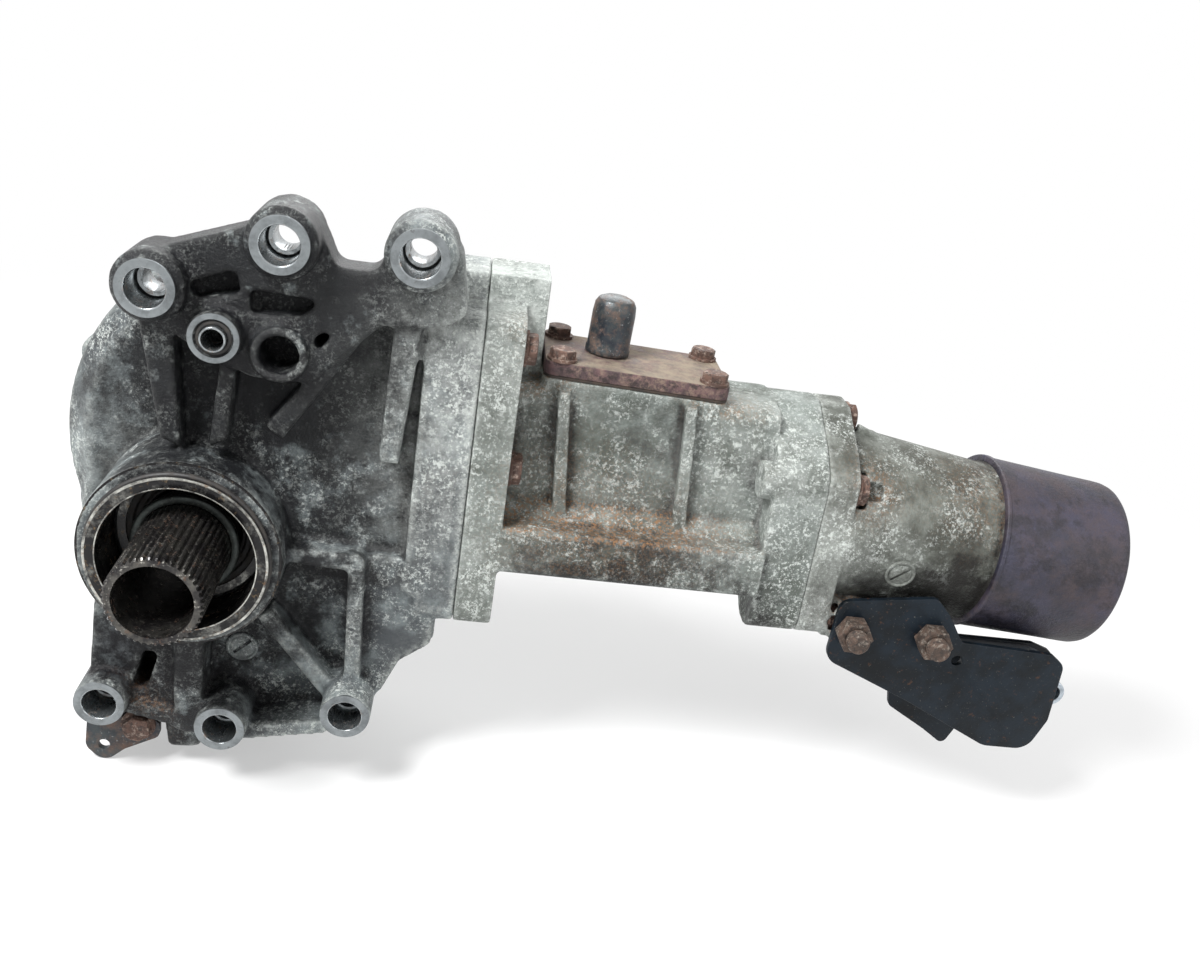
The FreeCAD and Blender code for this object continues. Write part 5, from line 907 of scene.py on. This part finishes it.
def dressed(name, node, bevel, segments=2):
    """A CAD node's own shape with its edges broken by bevel mm."""
    solid = weld(node)
    bmesh.ops.dissolve_limit(solid, angle_limit=math.radians(1.0), verts=solid.verts,
                             edges=solid.edges)
    data = bpy.data.meshes.new(name)
    solid.to_mesh(data)
    solid.free()
    return soften(link(name, data), bevel, segments, 40)


print("dressing ready")

# %% [markdown]
# ### Cover plate
#
# A thick steel plate closes the window above the pinion shaft. It was never painted well, so it
# has rusted all over: a dark brown ground with lighter, powdery rust where water stood. Road dust
# lies on its upper side only, so each face stores how far it looks up, and the material reads
# that number.

# %% Rusted steel plate
# hot-rolled plate rusted through its scale: dark red-brown, pitted, with no shine left
rusted_plate, tree = new_material("rusted_mild_steel_plate")
finish = lay_over(tree, (hex_colour("#46373a"), 0.62, 0.2), (hex_colour("#62494a"), 0.8, 0.0),
                  blotches(tree, 8, 0.5, 0.12, 5, 0.7, 1.0), 0.9)
finish = lay_over(tree, finish, (hex_colour("#94806f"), 0.95, 0.0),
                  blotches(tree, 3.4, 0.4, 0.1, 7, 0.85, 3.0), 0.6,
                  blotches(tree, 22, 0.6, 0.14, 3, 0.6, 9.0))
finish = lay_over(tree, finish, (hex_colour("#241c1c"), 0.5, 0.2),
                  blotches(tree, 4, 0.34, 0.07, 5, 0.75, 5.0), 0.85)
# road dust, in drifts of about 20 mm
upward = add(tree, "ShaderNodeAttribute", out="Fac", attribute_name="looks_up")
finish = lay_over(tree, finish, (hex_colour("#8f8472"), 0.95, 0.0),
                  blotches(tree, 20, 0.55, 0.16, 7, 0.8, 13.0), 0.85, upward)
close_material(tree, finish, blotches(tree, 1.3, 0.5, 0.3, 5, 0.75, 7.0), 0.25, 0.7)
print("plate steel")

# %% Plate
DUST_FROM, DUST_FULL = 0.7, 0.95  # upward share of a face's normal at which dust starts, and stays
plate = dressed("cover_plate_cut", "cover_plate", bevel=0.7, segments=3)
looks_up = plate.data.attributes.new("looks_up", "FLOAT", "FACE")
for face, value in zip(plate.data.polygons, looks_up.data):
    value.value = min(max((face.normal.z - DUST_FROM) / (DUST_FULL - DUST_FROM), 0), 1)
settle(plate, rusted_plate, "housing", "cover_plate")
print("plate:", len(plate.data.polygons), "faces")

# %% Gasket
# brown paper, blackened where oil has crept through it
gasket_paper, tree = new_material("oil_soaked_gasket_paper")
finish = lay_over(tree, (hex_colour("#3b3027"), 0.8, 0.0), (hex_colour("#1d1815"), 0.6, 0.0),
                  blotches(tree, 5, 0.5, 0.12, 5, 0.7, 2.0), 0.8)
close_material(tree, finish, blotches(tree, 1.2, 0.5, 0.3, 4, 0.7, 3.0), 0.1)
nodes["cover_gasket"].data.materials.clear()
nodes["cover_gasket"].data.materials.append(gasket_paper)
print("gasket")

# %% [markdown]
# ### Vent cap
#
# A pressed cap lets the case breathe as it warms up. Blue-black paint, worn to rust round its
# crown and foot. It is turned about the line through the cover plate's own bolts, which leans
# with the plate.

# %% Blue-black paint
# thin glossy paint over steel: blue-black, brown where it has rusted, bright where it is chipped
worn_paint, tree = new_material("worn_blue_black_paint")
finish = lay_over(tree, (hex_colour("#1f242c"), 0.3, 0.3), (hex_colour("#3c4344"), 0.45, 0.4),
                  blotches(tree, 10, 0.5, 0.14, 5, 0.65, 1.0), 0.8)
finish = lay_over(tree, finish, (hex_colour("#6f5545"), 0.88, 0.0),
                  blotches(tree, 9, 0.3, 0.14, 7, 0.8, 3.0), 0.8)
finish = lay_over(tree, finish, (hex_colour("#8d8f90"), 0.35, 0.9),
                  blotches(tree, 1.6, 0.1, 0.03, 5, 0.75, 5.0), 0.8)
close_material(tree, finish, blotches(tree, 2.0, 0.5, 0.3, 4, 0.65, 7.0), 0.12)
print("worn paint")

# %% Cap
low, high = (Vector(c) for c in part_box("vent_cap"))
PLATE_TILT = math.radians(1.9)
PLATE_UP = Vector((math.sin(PLATE_TILT), 0, math.cos(PLATE_TILT)))
cap_height = (high.z - low.z) / MM
cap_middle = (low + high) / 2
cap_axis = (cap_middle - PLATE_UP * (cap_height / 2 - 0.35) * MM, PLATE_UP)
print("vent cap box height", round(cap_height, 2), "mm")
cap = lathe("vent_cap_pressed", [
    (0.2, 0), (0.2, 3.9), (6, 3.9), (6.0, 9.2), (6.4, 9.9), (8.4, 9.9), (9.2, 9.5), (24, 9.5),
    (28.2, 9.1), (30.4, 7.8), (31.5, 5.4), (31.8, 0)], cap_axis, steps=72, width=0.3)
settle(cap, worn_paint, "housing", "vent_cap")

# %% [markdown]
# ## Bolts from one Geometry Nodes tree
#
# Bolts repeat, so one tree makes them all: a hexagon trimmed by a cone for the chamfer that every
# real bolt head has, a round flange under it and a shank. It is instanced on one point per bolt,
# turned to face the way that the point says, and spun by a random angle, because nobody stops a
# spanner at the same angle twice. The bolt's sizes are the tree's inputs, so an M6 and an M8 come
# from the same tree.

# %% Bolt tree


def bolt_tree():
    """Geometry Nodes tree: bolts on points that carry a facing direction."""
    tree = bpy.data.node_groups.new("hexagon_bolts", "GeometryNodeTree")
    face = tree.interface
    face.new_socket("Geometry", in_out="INPUT", socket_type="NodeSocketGeometry")
    for name, default in (("Flats", 0.012), ("Head Height", 0.0053), ("Flange Radius", 0.008),
                          ("Shank Radius", 0.004), ("Shank Length", 0.02)):
        face.new_socket(name, in_out="INPUT", socket_type="NodeSocketFloat").default_value = default
    face.new_socket("Material", in_out="INPUT", socket_type="NodeSocketMaterial")
    face.new_socket("Geometry", in_out="OUTPUT", socket_type="NodeSocketGeometry")
    given = tree.nodes.new("NodeGroupInput").outputs
    height = given["Head Height"]
    corner = add(tree, "ShaderNodeMath", {0: given["Flats"], 1: 0.57735}, operation="MULTIPLY")
    half = add(tree, "ShaderNodeMath", {0: height, 1: 0.5}, operation="MULTIPLY")
    hexagon = add(tree, "GeometryNodeMeshCylinder",
                  {"Vertices": 6, "Radius": corner, "Depth": height}, fill_type="NGON")
    lifted = add(tree, "ShaderNodeCombineXYZ", {"Z": half})
    hexagon = add(tree, "GeometryNodeTransform", {"Geometry": hexagon, "Translation": lifted})
    cone_foot = add(tree, "ShaderNodeMath", {0: corner, 1: 2.5}, operation="MULTIPLY")
    cone_top = add(tree, "ShaderNodeMath", {0: given["Flats"], 1: 0.47}, operation="MULTIPLY")
    slope = add(tree, "ShaderNodeMath", {0: cone_foot, 1: cone_top}, operation="SUBTRACT")
    cone_height = add(tree, "ShaderNodeMath", {0: slope, 1: 0.55}, operation="MULTIPLY")
    cone = add(tree, "GeometryNodeMeshCone", {
        "Vertices": 48, "Radius Top": cone_top, "Radius Bottom": cone_foot, "Depth": cone_height},
        fill_type="NGON")
    drop = add(tree, "ShaderNodeMath", {0: height, 1: cone_height}, operation="SUBTRACT")
    lowered = add(tree, "ShaderNodeCombineXYZ", {"Z": drop})
    cone = add(tree, "GeometryNodeTransform", {"Geometry": cone, "Translation": lowered})
    head = add(tree, "GeometryNodeMeshBoolean", {1: hexagon}, operation="INTERSECT", solver="EXACT")
    tree.links.new(cone, head.node.inputs[1])
    flange_height = add(tree, "ShaderNodeMath", {0: height, 1: 0.26}, operation="MULTIPLY")
    flange_half = add(tree, "ShaderNodeMath", {0: height, 1: 0.13}, operation="MULTIPLY")
    flange = add(tree, "GeometryNodeMeshCylinder", {
        "Vertices": 40, "Radius": given["Flange Radius"], "Depth": flange_height}, fill_type="NGON")
    raised = add(tree, "ShaderNodeCombineXYZ", {"Z": flange_half})
    flange = add(tree, "GeometryNodeTransform", {"Geometry": flange, "Translation": raised})
    shank = add(tree, "GeometryNodeMeshCylinder", {
        "Vertices": 24, "Radius": given["Shank Radius"], "Depth": given["Shank Length"]},
        fill_type="NGON")
    sunk = add(tree, "ShaderNodeMath", {0: given["Shank Length"], 1: -0.5}, operation="MULTIPLY")
    below = add(tree, "ShaderNodeCombineXYZ", {"Z": sunk})
    shank = add(tree, "GeometryNodeTransform", {"Geometry": shank, "Translation": below})
    whole = add(tree, "GeometryNodeJoinGeometry", {0: shank})
    tree.links.new(flange, whole.node.inputs[0])
    tree.links.new(head, whole.node.inputs[0])
    facing = add(tree, "GeometryNodeInputNamedAttribute", {"Name": "facing"},
                 data_type="FLOAT_VECTOR")
    aligned = add(tree, "FunctionNodeAlignRotationToVector", {"Vector": facing}, axis="Z")
    spin = add(tree, "FunctionNodeRandomValue", {"Max": 1.047, "Seed": 7}, out=1, data_type="FLOAT")
    spun = add(tree, "ShaderNodeCombineXYZ", {"Z": spin})
    turned = add(tree, "FunctionNodeRotateRotation", {0: aligned, 1: spun}, rotation_space="LOCAL")
    placed = add(tree, "GeometryNodeInstanceOnPoints", {
        "Points": given["Geometry"], "Instance": whole, "Rotation": turned})
    real = add(tree, "GeometryNodeRealizeInstances", {"Geometry": placed})
    coated = add(tree, "GeometryNodeSetMaterial", {"Geometry": real, "Material": given["Material"]})
    out = tree.nodes.new("NodeGroupOutput")
    tree.links.new(coated, out.inputs[0])
    return tree


BOLT_TREE = bolt_tree()
print("bolt tree inputs:", [s.name for s in BOLT_TREE.interface.items_tree if s.in_out == "INPUT"])

# %% Rusted bolts
# the zinc is gone: dark brown with pale rubbed corners and black dirt in the hollows
rusted_bolts, tree = new_material("rusted_zinc_plated_bolt_steel")
finish = lay_over(tree, (hex_colour("#4c3a33"), 0.7, 0.3), (hex_colour("#6f554a"), 0.85, 0.1),
                  blotches(tree, 5, 0.5, 0.12, 5, 0.7, 1.0), 0.85)
finish = lay_over(tree, finish, (hex_colour("#a8978b"), 0.7, 0.3),
                  blotches(tree, 2.6, 0.3, 0.06, 5, 0.75, 3.0), 0.7)
finish = lay_over(tree, finish, (hex_colour("#251d1b"), 0.6, 0.1),
                  blotches(tree, 2.2, 0.3, 0.06, 5, 0.75, 5.0), 0.8)
close_material(tree, finish, blotches(tree, 0.9, 0.5, 0.3, 5, 0.75, 7.0), 0.2, 0.7)
print("bolt steel")

# %% Solids within a node


def islands(node):
    """The separate solids in a CAD node, each as an array of its points in mm."""
    solid = weld(node)
    left = set(solid.verts)
    groups = []
    while left:
        queue = [left.pop()]
        group = []
        while queue:
            vert = queue.pop()
            group.append(vert.co[:])
            for edge in vert.link_edges:
                other = edge.other_vert(vert)
                if other in left:
                    left.remove(other)
                    queue.append(other)
        groups.append(np.array(group) / MM)
    solid.free()
    return sorted(groups, key=lambda g: tuple(g.min(axis=0).round(2)))


print("case bolts:", len(islands("case_bolts")), "solids")

# %% Bolts in their places


def bolts(name, node, facing, flats, head, flange, shank):
    """Replaces a CAD node of plain bolts by bolts from the tree; sizes in mm."""
    facing = Vector(facing).normalized()
    points, length = [], 0
    for solid in islands(node):
        depth = solid @ np.array(facing)
        top = solid[depth > depth.max() - 0.01]
        top_middle = Vector((top.max(axis=0) + top.min(axis=0)) / 2)
        points.append((top_middle - facing * head) * MM)
        length = depth.max() - depth.min() - head
    mesh = bpy.data.meshes.new(name)
    mesh.from_pydata(points, [], [])
    directions = mesh.attributes.new("facing", "FLOAT_VECTOR", "POINT")
    directions.data.foreach_set("vector", list(facing) * len(points))
    piece = link(name, mesh)
    modifier = piece.modifiers.new("bolts", "NODES")
    modifier.node_group = BOLT_TREE
    values = {"Flats": flats * MM, "Head Height": head * MM, "Flange Radius": flange * MM,
              "Shank Radius": shank * MM, "Shank Length": length * MM, "Material": rusted_bolts}
    for item in BOLT_TREE.interface.items_tree:
        if item.in_out == "INPUT" and item.name in values:
            modifier[item.identifier] = values[item.name]
    bake(piece)
    soften(piece, 0.22, 2, 20)
    settle(piece, rusted_bolts, "housing", node)
    print(name, len(points), "bolts, shank", round(length, 1), "mm")


M8 = {"flats": 12, "head": 5.3, "flange": 7.6, "shank": 4}
M8_SMALL_HEAD = {"flats": 10.8, "head": 5.3, "flange": 7.4, "shank": 4}
M6 = {"flats": 10, "head": 5.0, "flange": 6.4, "shank": 3}
bolts("case_bolts_rusted", "case_bolts", (1, 0, 0), **M8)
bolts("retainer_bolts_rusted", "retainer_bolts", (1, 0, 0), **M8)
bolts("left_case_bolts_rusted", "left_case_bolts", (0, 1, 0), **M8)
bolts("cover_bolts_rusted", "cover_bolts", PLATE_UP, **M6)
bolts("tab_bolt_rusted", "harness_tab_bolt", (0, -1, 0), **M8_SMALL_HEAD)

# %% [markdown]
# ### Stay bracket
#
# The bracket is folded from 3 mm sheet, then dipped in blue-black paint, which still looks new
# beside the castings. It holds the rear mounting's sleeve, plated with zinc.

# %% Bracket and harness tab
# dipped paint is an even blue-black satin, with a little dust and a few rust freckles
bracket_paint, tree = new_material("dipped_blue_black_paint")
finish = lay_over(tree, (hex_colour("#080e13"), 0.38, 0.0), (hex_colour("#141e27"), 0.5, 0.0),
                  blotches(tree, 16, 0.5, 0.14, 5, 0.65, 1.0), 0.85)
finish = lay_over(tree, finish, (hex_colour("#6d6c66"), 0.9, 0.0),
                  blotches(tree, 1.5, 0.07, 0.025, 4, 0.8, 3.0), 0.7)
finish = lay_over(tree, finish, (hex_colour("#4c372b"), 0.9, 0.0),
                  blotches(tree, 4, 0.08, 0.04, 5, 0.75, 5.0), 0.7)
close_material(tree, finish, blotches(tree, 2.4, 0.5, 0.3, 4, 0.65, 7.0), 0.1,
               strength=0.5, specular=0.22)
bracket = dressed("stay_bracket_folded", "stay_bracket", bevel=0.9, segments=3)
settle(bracket, bracket_paint, "housing", "stay_bracket")
tab = dressed("harness_tab_cut", "harness_tab", bevel=0.6, segments=3)
settle(tab, worn_paint, "housing", "harness_tab")
print("bracket", len(bracket.data.polygons), "faces, tab", len(tab.data.polygons))

# %% Sleeve
# bright zinc plate is a cool silver with slightly duller clouds
bright_zinc, tree = new_material("bright_zinc_plate")
finish = lay_over(tree, (hex_colour("#b9c2ca"), 0.3, 0.95), (hex_colour("#8b939a"), 0.45, 0.8),
                  blotches(tree, 4, 0.45, 0.12, 5, 0.7, 1.0), 0.8)
close_material(tree, finish, blotches(tree, 1.0, 0.5, 0.3, 4, 0.65, 3.0), 0.04, 0.4)
settle(dressed("bracket_sleeve_turned", "bracket_sleeve", bevel=0.5), bright_zinc, "housing",
       "bracket_sleeve")
print("sleeve")

# %% [markdown]
# ### Studs and nuts
#
# Two studs hold the bracket. A real thread is a helix, but at this size a stack of rings looks
# the same and closes without a seam, so the stud is one lathe profile that rises and falls once
# for each turn of the thread.

# %% Brown steel
# bare steel with a thin even rust: brown, with grey where a spanner has rubbed it
brown_steel, tree = new_material("brown_rusted_steel")
finish = lay_over(tree, (hex_colour("#423832"), 0.6, 0.4), (hex_colour("#5e4b40"), 0.85, 0.1),
                  blotches(tree, 5, 0.5, 0.12, 5, 0.7, 1.0), 0.85)
finish = lay_over(tree, finish, (hex_colour("#8f867c"), 0.55, 0.5),
                  blotches(tree, 2.4, 0.3, 0.06, 5, 0.75, 3.0), 0.7)
finish = lay_over(tree, finish, (hex_colour("#1e1917"), 0.6, 0.1),
                  blotches(tree, 2.6, 0.33, 0.06, 5, 0.75, 5.0), 0.85)
close_material(tree, finish, blotches(tree, 0.9, 0.5, 0.3, 5, 0.75, 7.0), 0.2, 0.7)
print("stud steel")

# %% Studs and nuts
THREAD_PITCH, ROOT, CREST = 1.5, 4.25, 4.97  # mm; ROOT and CREST are radii
for index, solid in enumerate(islands("bracket_studs")):
    low, high = solid.min(axis=0), solid.max(axis=0)
    length = high[1] - low[1]
    profile = [(0.2, 0), (0.2, 3.9), (0.9, 4.7)]
    turns = int((length - 2) / THREAD_PITCH)
    for turn_index in range(turns):
        start = 1.2 + turn_index * THREAD_PITCH
        profile += [(start, ROOT), (start + THREAD_PITCH * 0.42, CREST),
                    (start + THREAD_PITCH * 0.58, CREST)]
    profile += [(length - 0.2, 4.3), (length - 0.2, 0)]
    centre = (low + high) / 2
    axis = (Vector((centre[0], low[1], centre[2])) * MM, Vector((0, 1, 0)))
    piece = lathe(f"stud_{index + 1}_threaded", profile, axis, steps=48, width=0.0)
    settle(piece, brown_steel, "housing", *(("bracket_studs",) if index == 0 else ()))
    print("stud", index + 1, "with", turns, "turns of thread")
settle(dressed("bracket_nuts_forged", "bracket_nuts", bevel=0.8, segments=3), brown_steel,
       "housing", "bracket_nuts")

# %% [markdown]
# ### Small fittings
#
# Cast-in date discs, with the slot of the tool that turns them in the mould, the oil passage's
# sleeve and the rubber rings. All of them are round, so they come from the lathe. Only a disc's
# slot isn't, and a Boolean with a thin block cuts it.

# %% Date discs
DISC_RADIUS = 7.0
SLOT_ANGLE = 0.75  # radians from the disc's own X


def date_disc(name, centre, facing, radius):
    """A shallow raised disc with a rim and a turning slot."""
    axis = (Vector(centre) * MM, Vector(facing).normalized())
    disc = lathe(name, [(-1.5, 0), (-1.5, radius), (0.4, radius), (0.8, radius - 0.4),
                        (0.8, radius - 1.0), (0.15, radius - 1.4), (0.15, radius - 1.9),
                        (0.6, radius - 2.2), (0.6, 0)], axis, steps=56, width=0.12)
    slot = bpy.data.meshes.new(name + "_slot")
    shape = bmesh.new()
    bmesh.ops.create_cube(shape, size=1.0)
    slot_turn = Vector(facing).to_track_quat("Z", "Y").to_matrix().to_4x4()
    lift = Matrix.Translation(axis[1] * 0.6 * MM)
    length, width, depth = radius * 1.45 * MM, 1.5 * MM, 1.6 * MM
    place = (lift @ Matrix.Translation(axis[0]) @ slot_turn @ Matrix.Rotation(SLOT_ANGLE, 4, "Z")
             @ Matrix.Diagonal((length, width, depth, 1)))
    bmesh.ops.transform(shape, matrix=place, verts=shape.verts)
    shape.to_mesh(slot)
    shape.free()
    cutter = link(name + "_cutter", slot)
    cut = disc.modifiers.new("slot", "BOOLEAN")
    cut.object = cutter
    cut.solver = "EXACT"
    bake(disc)
    bpy.data.objects.remove(cutter)
    soften(disc, 0.0)
    # the disc takes a casting's material, so it needs the masks that the material reads
    for mask_name, value in (("oil", 0.3), ("ridge", 0.35)):
        mask(disc, mask_name, np.full(len(disc.data.vertices), value))
    return disc


disc = date_disc("date_disc_front", (22.5, 26.9, -54.5), (0, -1, 0), DISC_RADIUS)
settle(disc, casting_front, "housing")
print("front disc")

# %% Disc on the retainer's cone
# the cone narrows along the output axis, so the wall under the disc is found from the cone itself
CONE_START, CONE_LENGTH = 221, 74
CONE_RADIUS, CONE_NARROWS = 42.5, 4.9
SPOT = Vector((309, 0, 16.5)) * MM
along = (SPOT - OUTPUT_AXIS[0]).dot(OUTPUT_AXIS[1])
on_axis = OUTPUT_AXIS[0] + OUTPUT_AXIS[1] * along
wall = CONE_RADIUS - (along / MM - CONE_START) / CONE_LENGTH * CONE_NARROWS
rise = (SPOT.z - on_axis.z) / MM
outward = Vector((0, -math.sqrt(wall ** 2 - rise ** 2), rise))
disc = date_disc("date_disc_rear", tuple((on_axis + outward * MM) / MM), outward.normalized(),
                 DISC_RADIUS)
settle(disc, casting_rear, "housing")
print("rear disc on a wall", round(wall, 1), "mm from the axis")

# %% Oil passage sleeve and rubber rings
sleeve = lathe("passage_sleeve_turned", [
    (2.1, 4.3), (2.1, 4.9), (2.5, 5.15), (17.9, 5.15), (17.9, 4.3)], PASSAGE,
    steps=64, width=0.1)
settle(sleeve, polished_bore, "housing", "passage_sleeve")
ring = lathe("passage_ring_moulded", [
    (4.55, 5.3), (4.5, 6.2), (4.9, 7.0), (5.5, 7.15), (6.1, 7.0), (6.5, 6.2), (6.45, 5.3)],
    PASSAGE, steps=64, width=0.2)
settle(ring, nitrile_rubber, "housing", "passage_o_ring")
CORD_HALF_WIDTH, CORD_HALF_HEIGHT = 1.4, 1.28  # the ring's cord, slightly flattened in its groove
circle = [2 * math.pi * i / 12 for i in range(12)]
ring = lathe("pilot_ring_moulded", [
    (1.5 + CORD_HALF_WIDTH * math.sin(a), 36.5 + CORD_HALF_HEIGHT * math.cos(a)) for a in circle],
    INPUT_AXIS, steps=144, width=0.0)
settle(ring, nitrile_rubber, "housing", "pilot_o_ring")
print("sleeve and two rubber rings")

# %% [markdown]
# ## Inside the case
#
# The gears, shafts and bearings keep their CAD shapes: they are exact already, and only glimpses
# of them show through the bores. They still get their own steels.

# %% Steels for the inside
# case-hardened and oiled: warm grey, a soft shine; ground bearing steel is brighter and cooler
gear_steel, tree = new_material("oiled_case_hardened_gear_steel")
finish = lay_over(tree, (hex_colour("#7d7a74"), 0.3, 1.0), (hex_colour("#4e4a44"), 0.36, 1.0),
                  blotches(tree, 12, 0.45, 0.12, 4, 0.6, 1.0), 0.7)
close_material(tree, finish, blotches(tree, 1.2, 0.5, 0.3, 3, 0.6, 2.0), 0.03, 0.4)
bearing_steel, tree = new_material("ground_bearing_steel")
finish = lay_over(tree, (hex_colour("#a4a6a8"), 0.2, 1.0), (hex_colour("#85868a"), 0.28, 1.0),
                  blotches(tree, 6, 0.4, 0.12, 4, 0.6, 3.0), 0.6)
close_material(tree, finish, blotches(tree, 1.0, 0.5, 0.3, 3, 0.6, 4.0), 0.02, 0.3)
inside = {"gear_steel": gear_steel, "bearing_steel": bearing_steel, "fastener_steel": brown_steel}
carried = 0
for name, node in nodes.items():
    if name == "cover_gasket":
        continue
    node.data.materials.clear()
    node.data.materials.append(inside.get(SLOTS[name], rusted_plate))
    carried += 1
print(carried, "CAD nodes finished")

# %% [markdown]
# ## Size
#
# Dressing a part mustn't change its size. So the box of the bare CAD solids, kept at the start,
# is set beside the box of the finished pieces, and the largest change is printed.

# %% Compare both boxes and finish
low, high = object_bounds()
changes = [abs(a - b) / MM for a, b in zip((*low, *high), (*cad_low, *cad_high))]
print("no side of the box moved by more than", round(max(changes), 2), "mm")
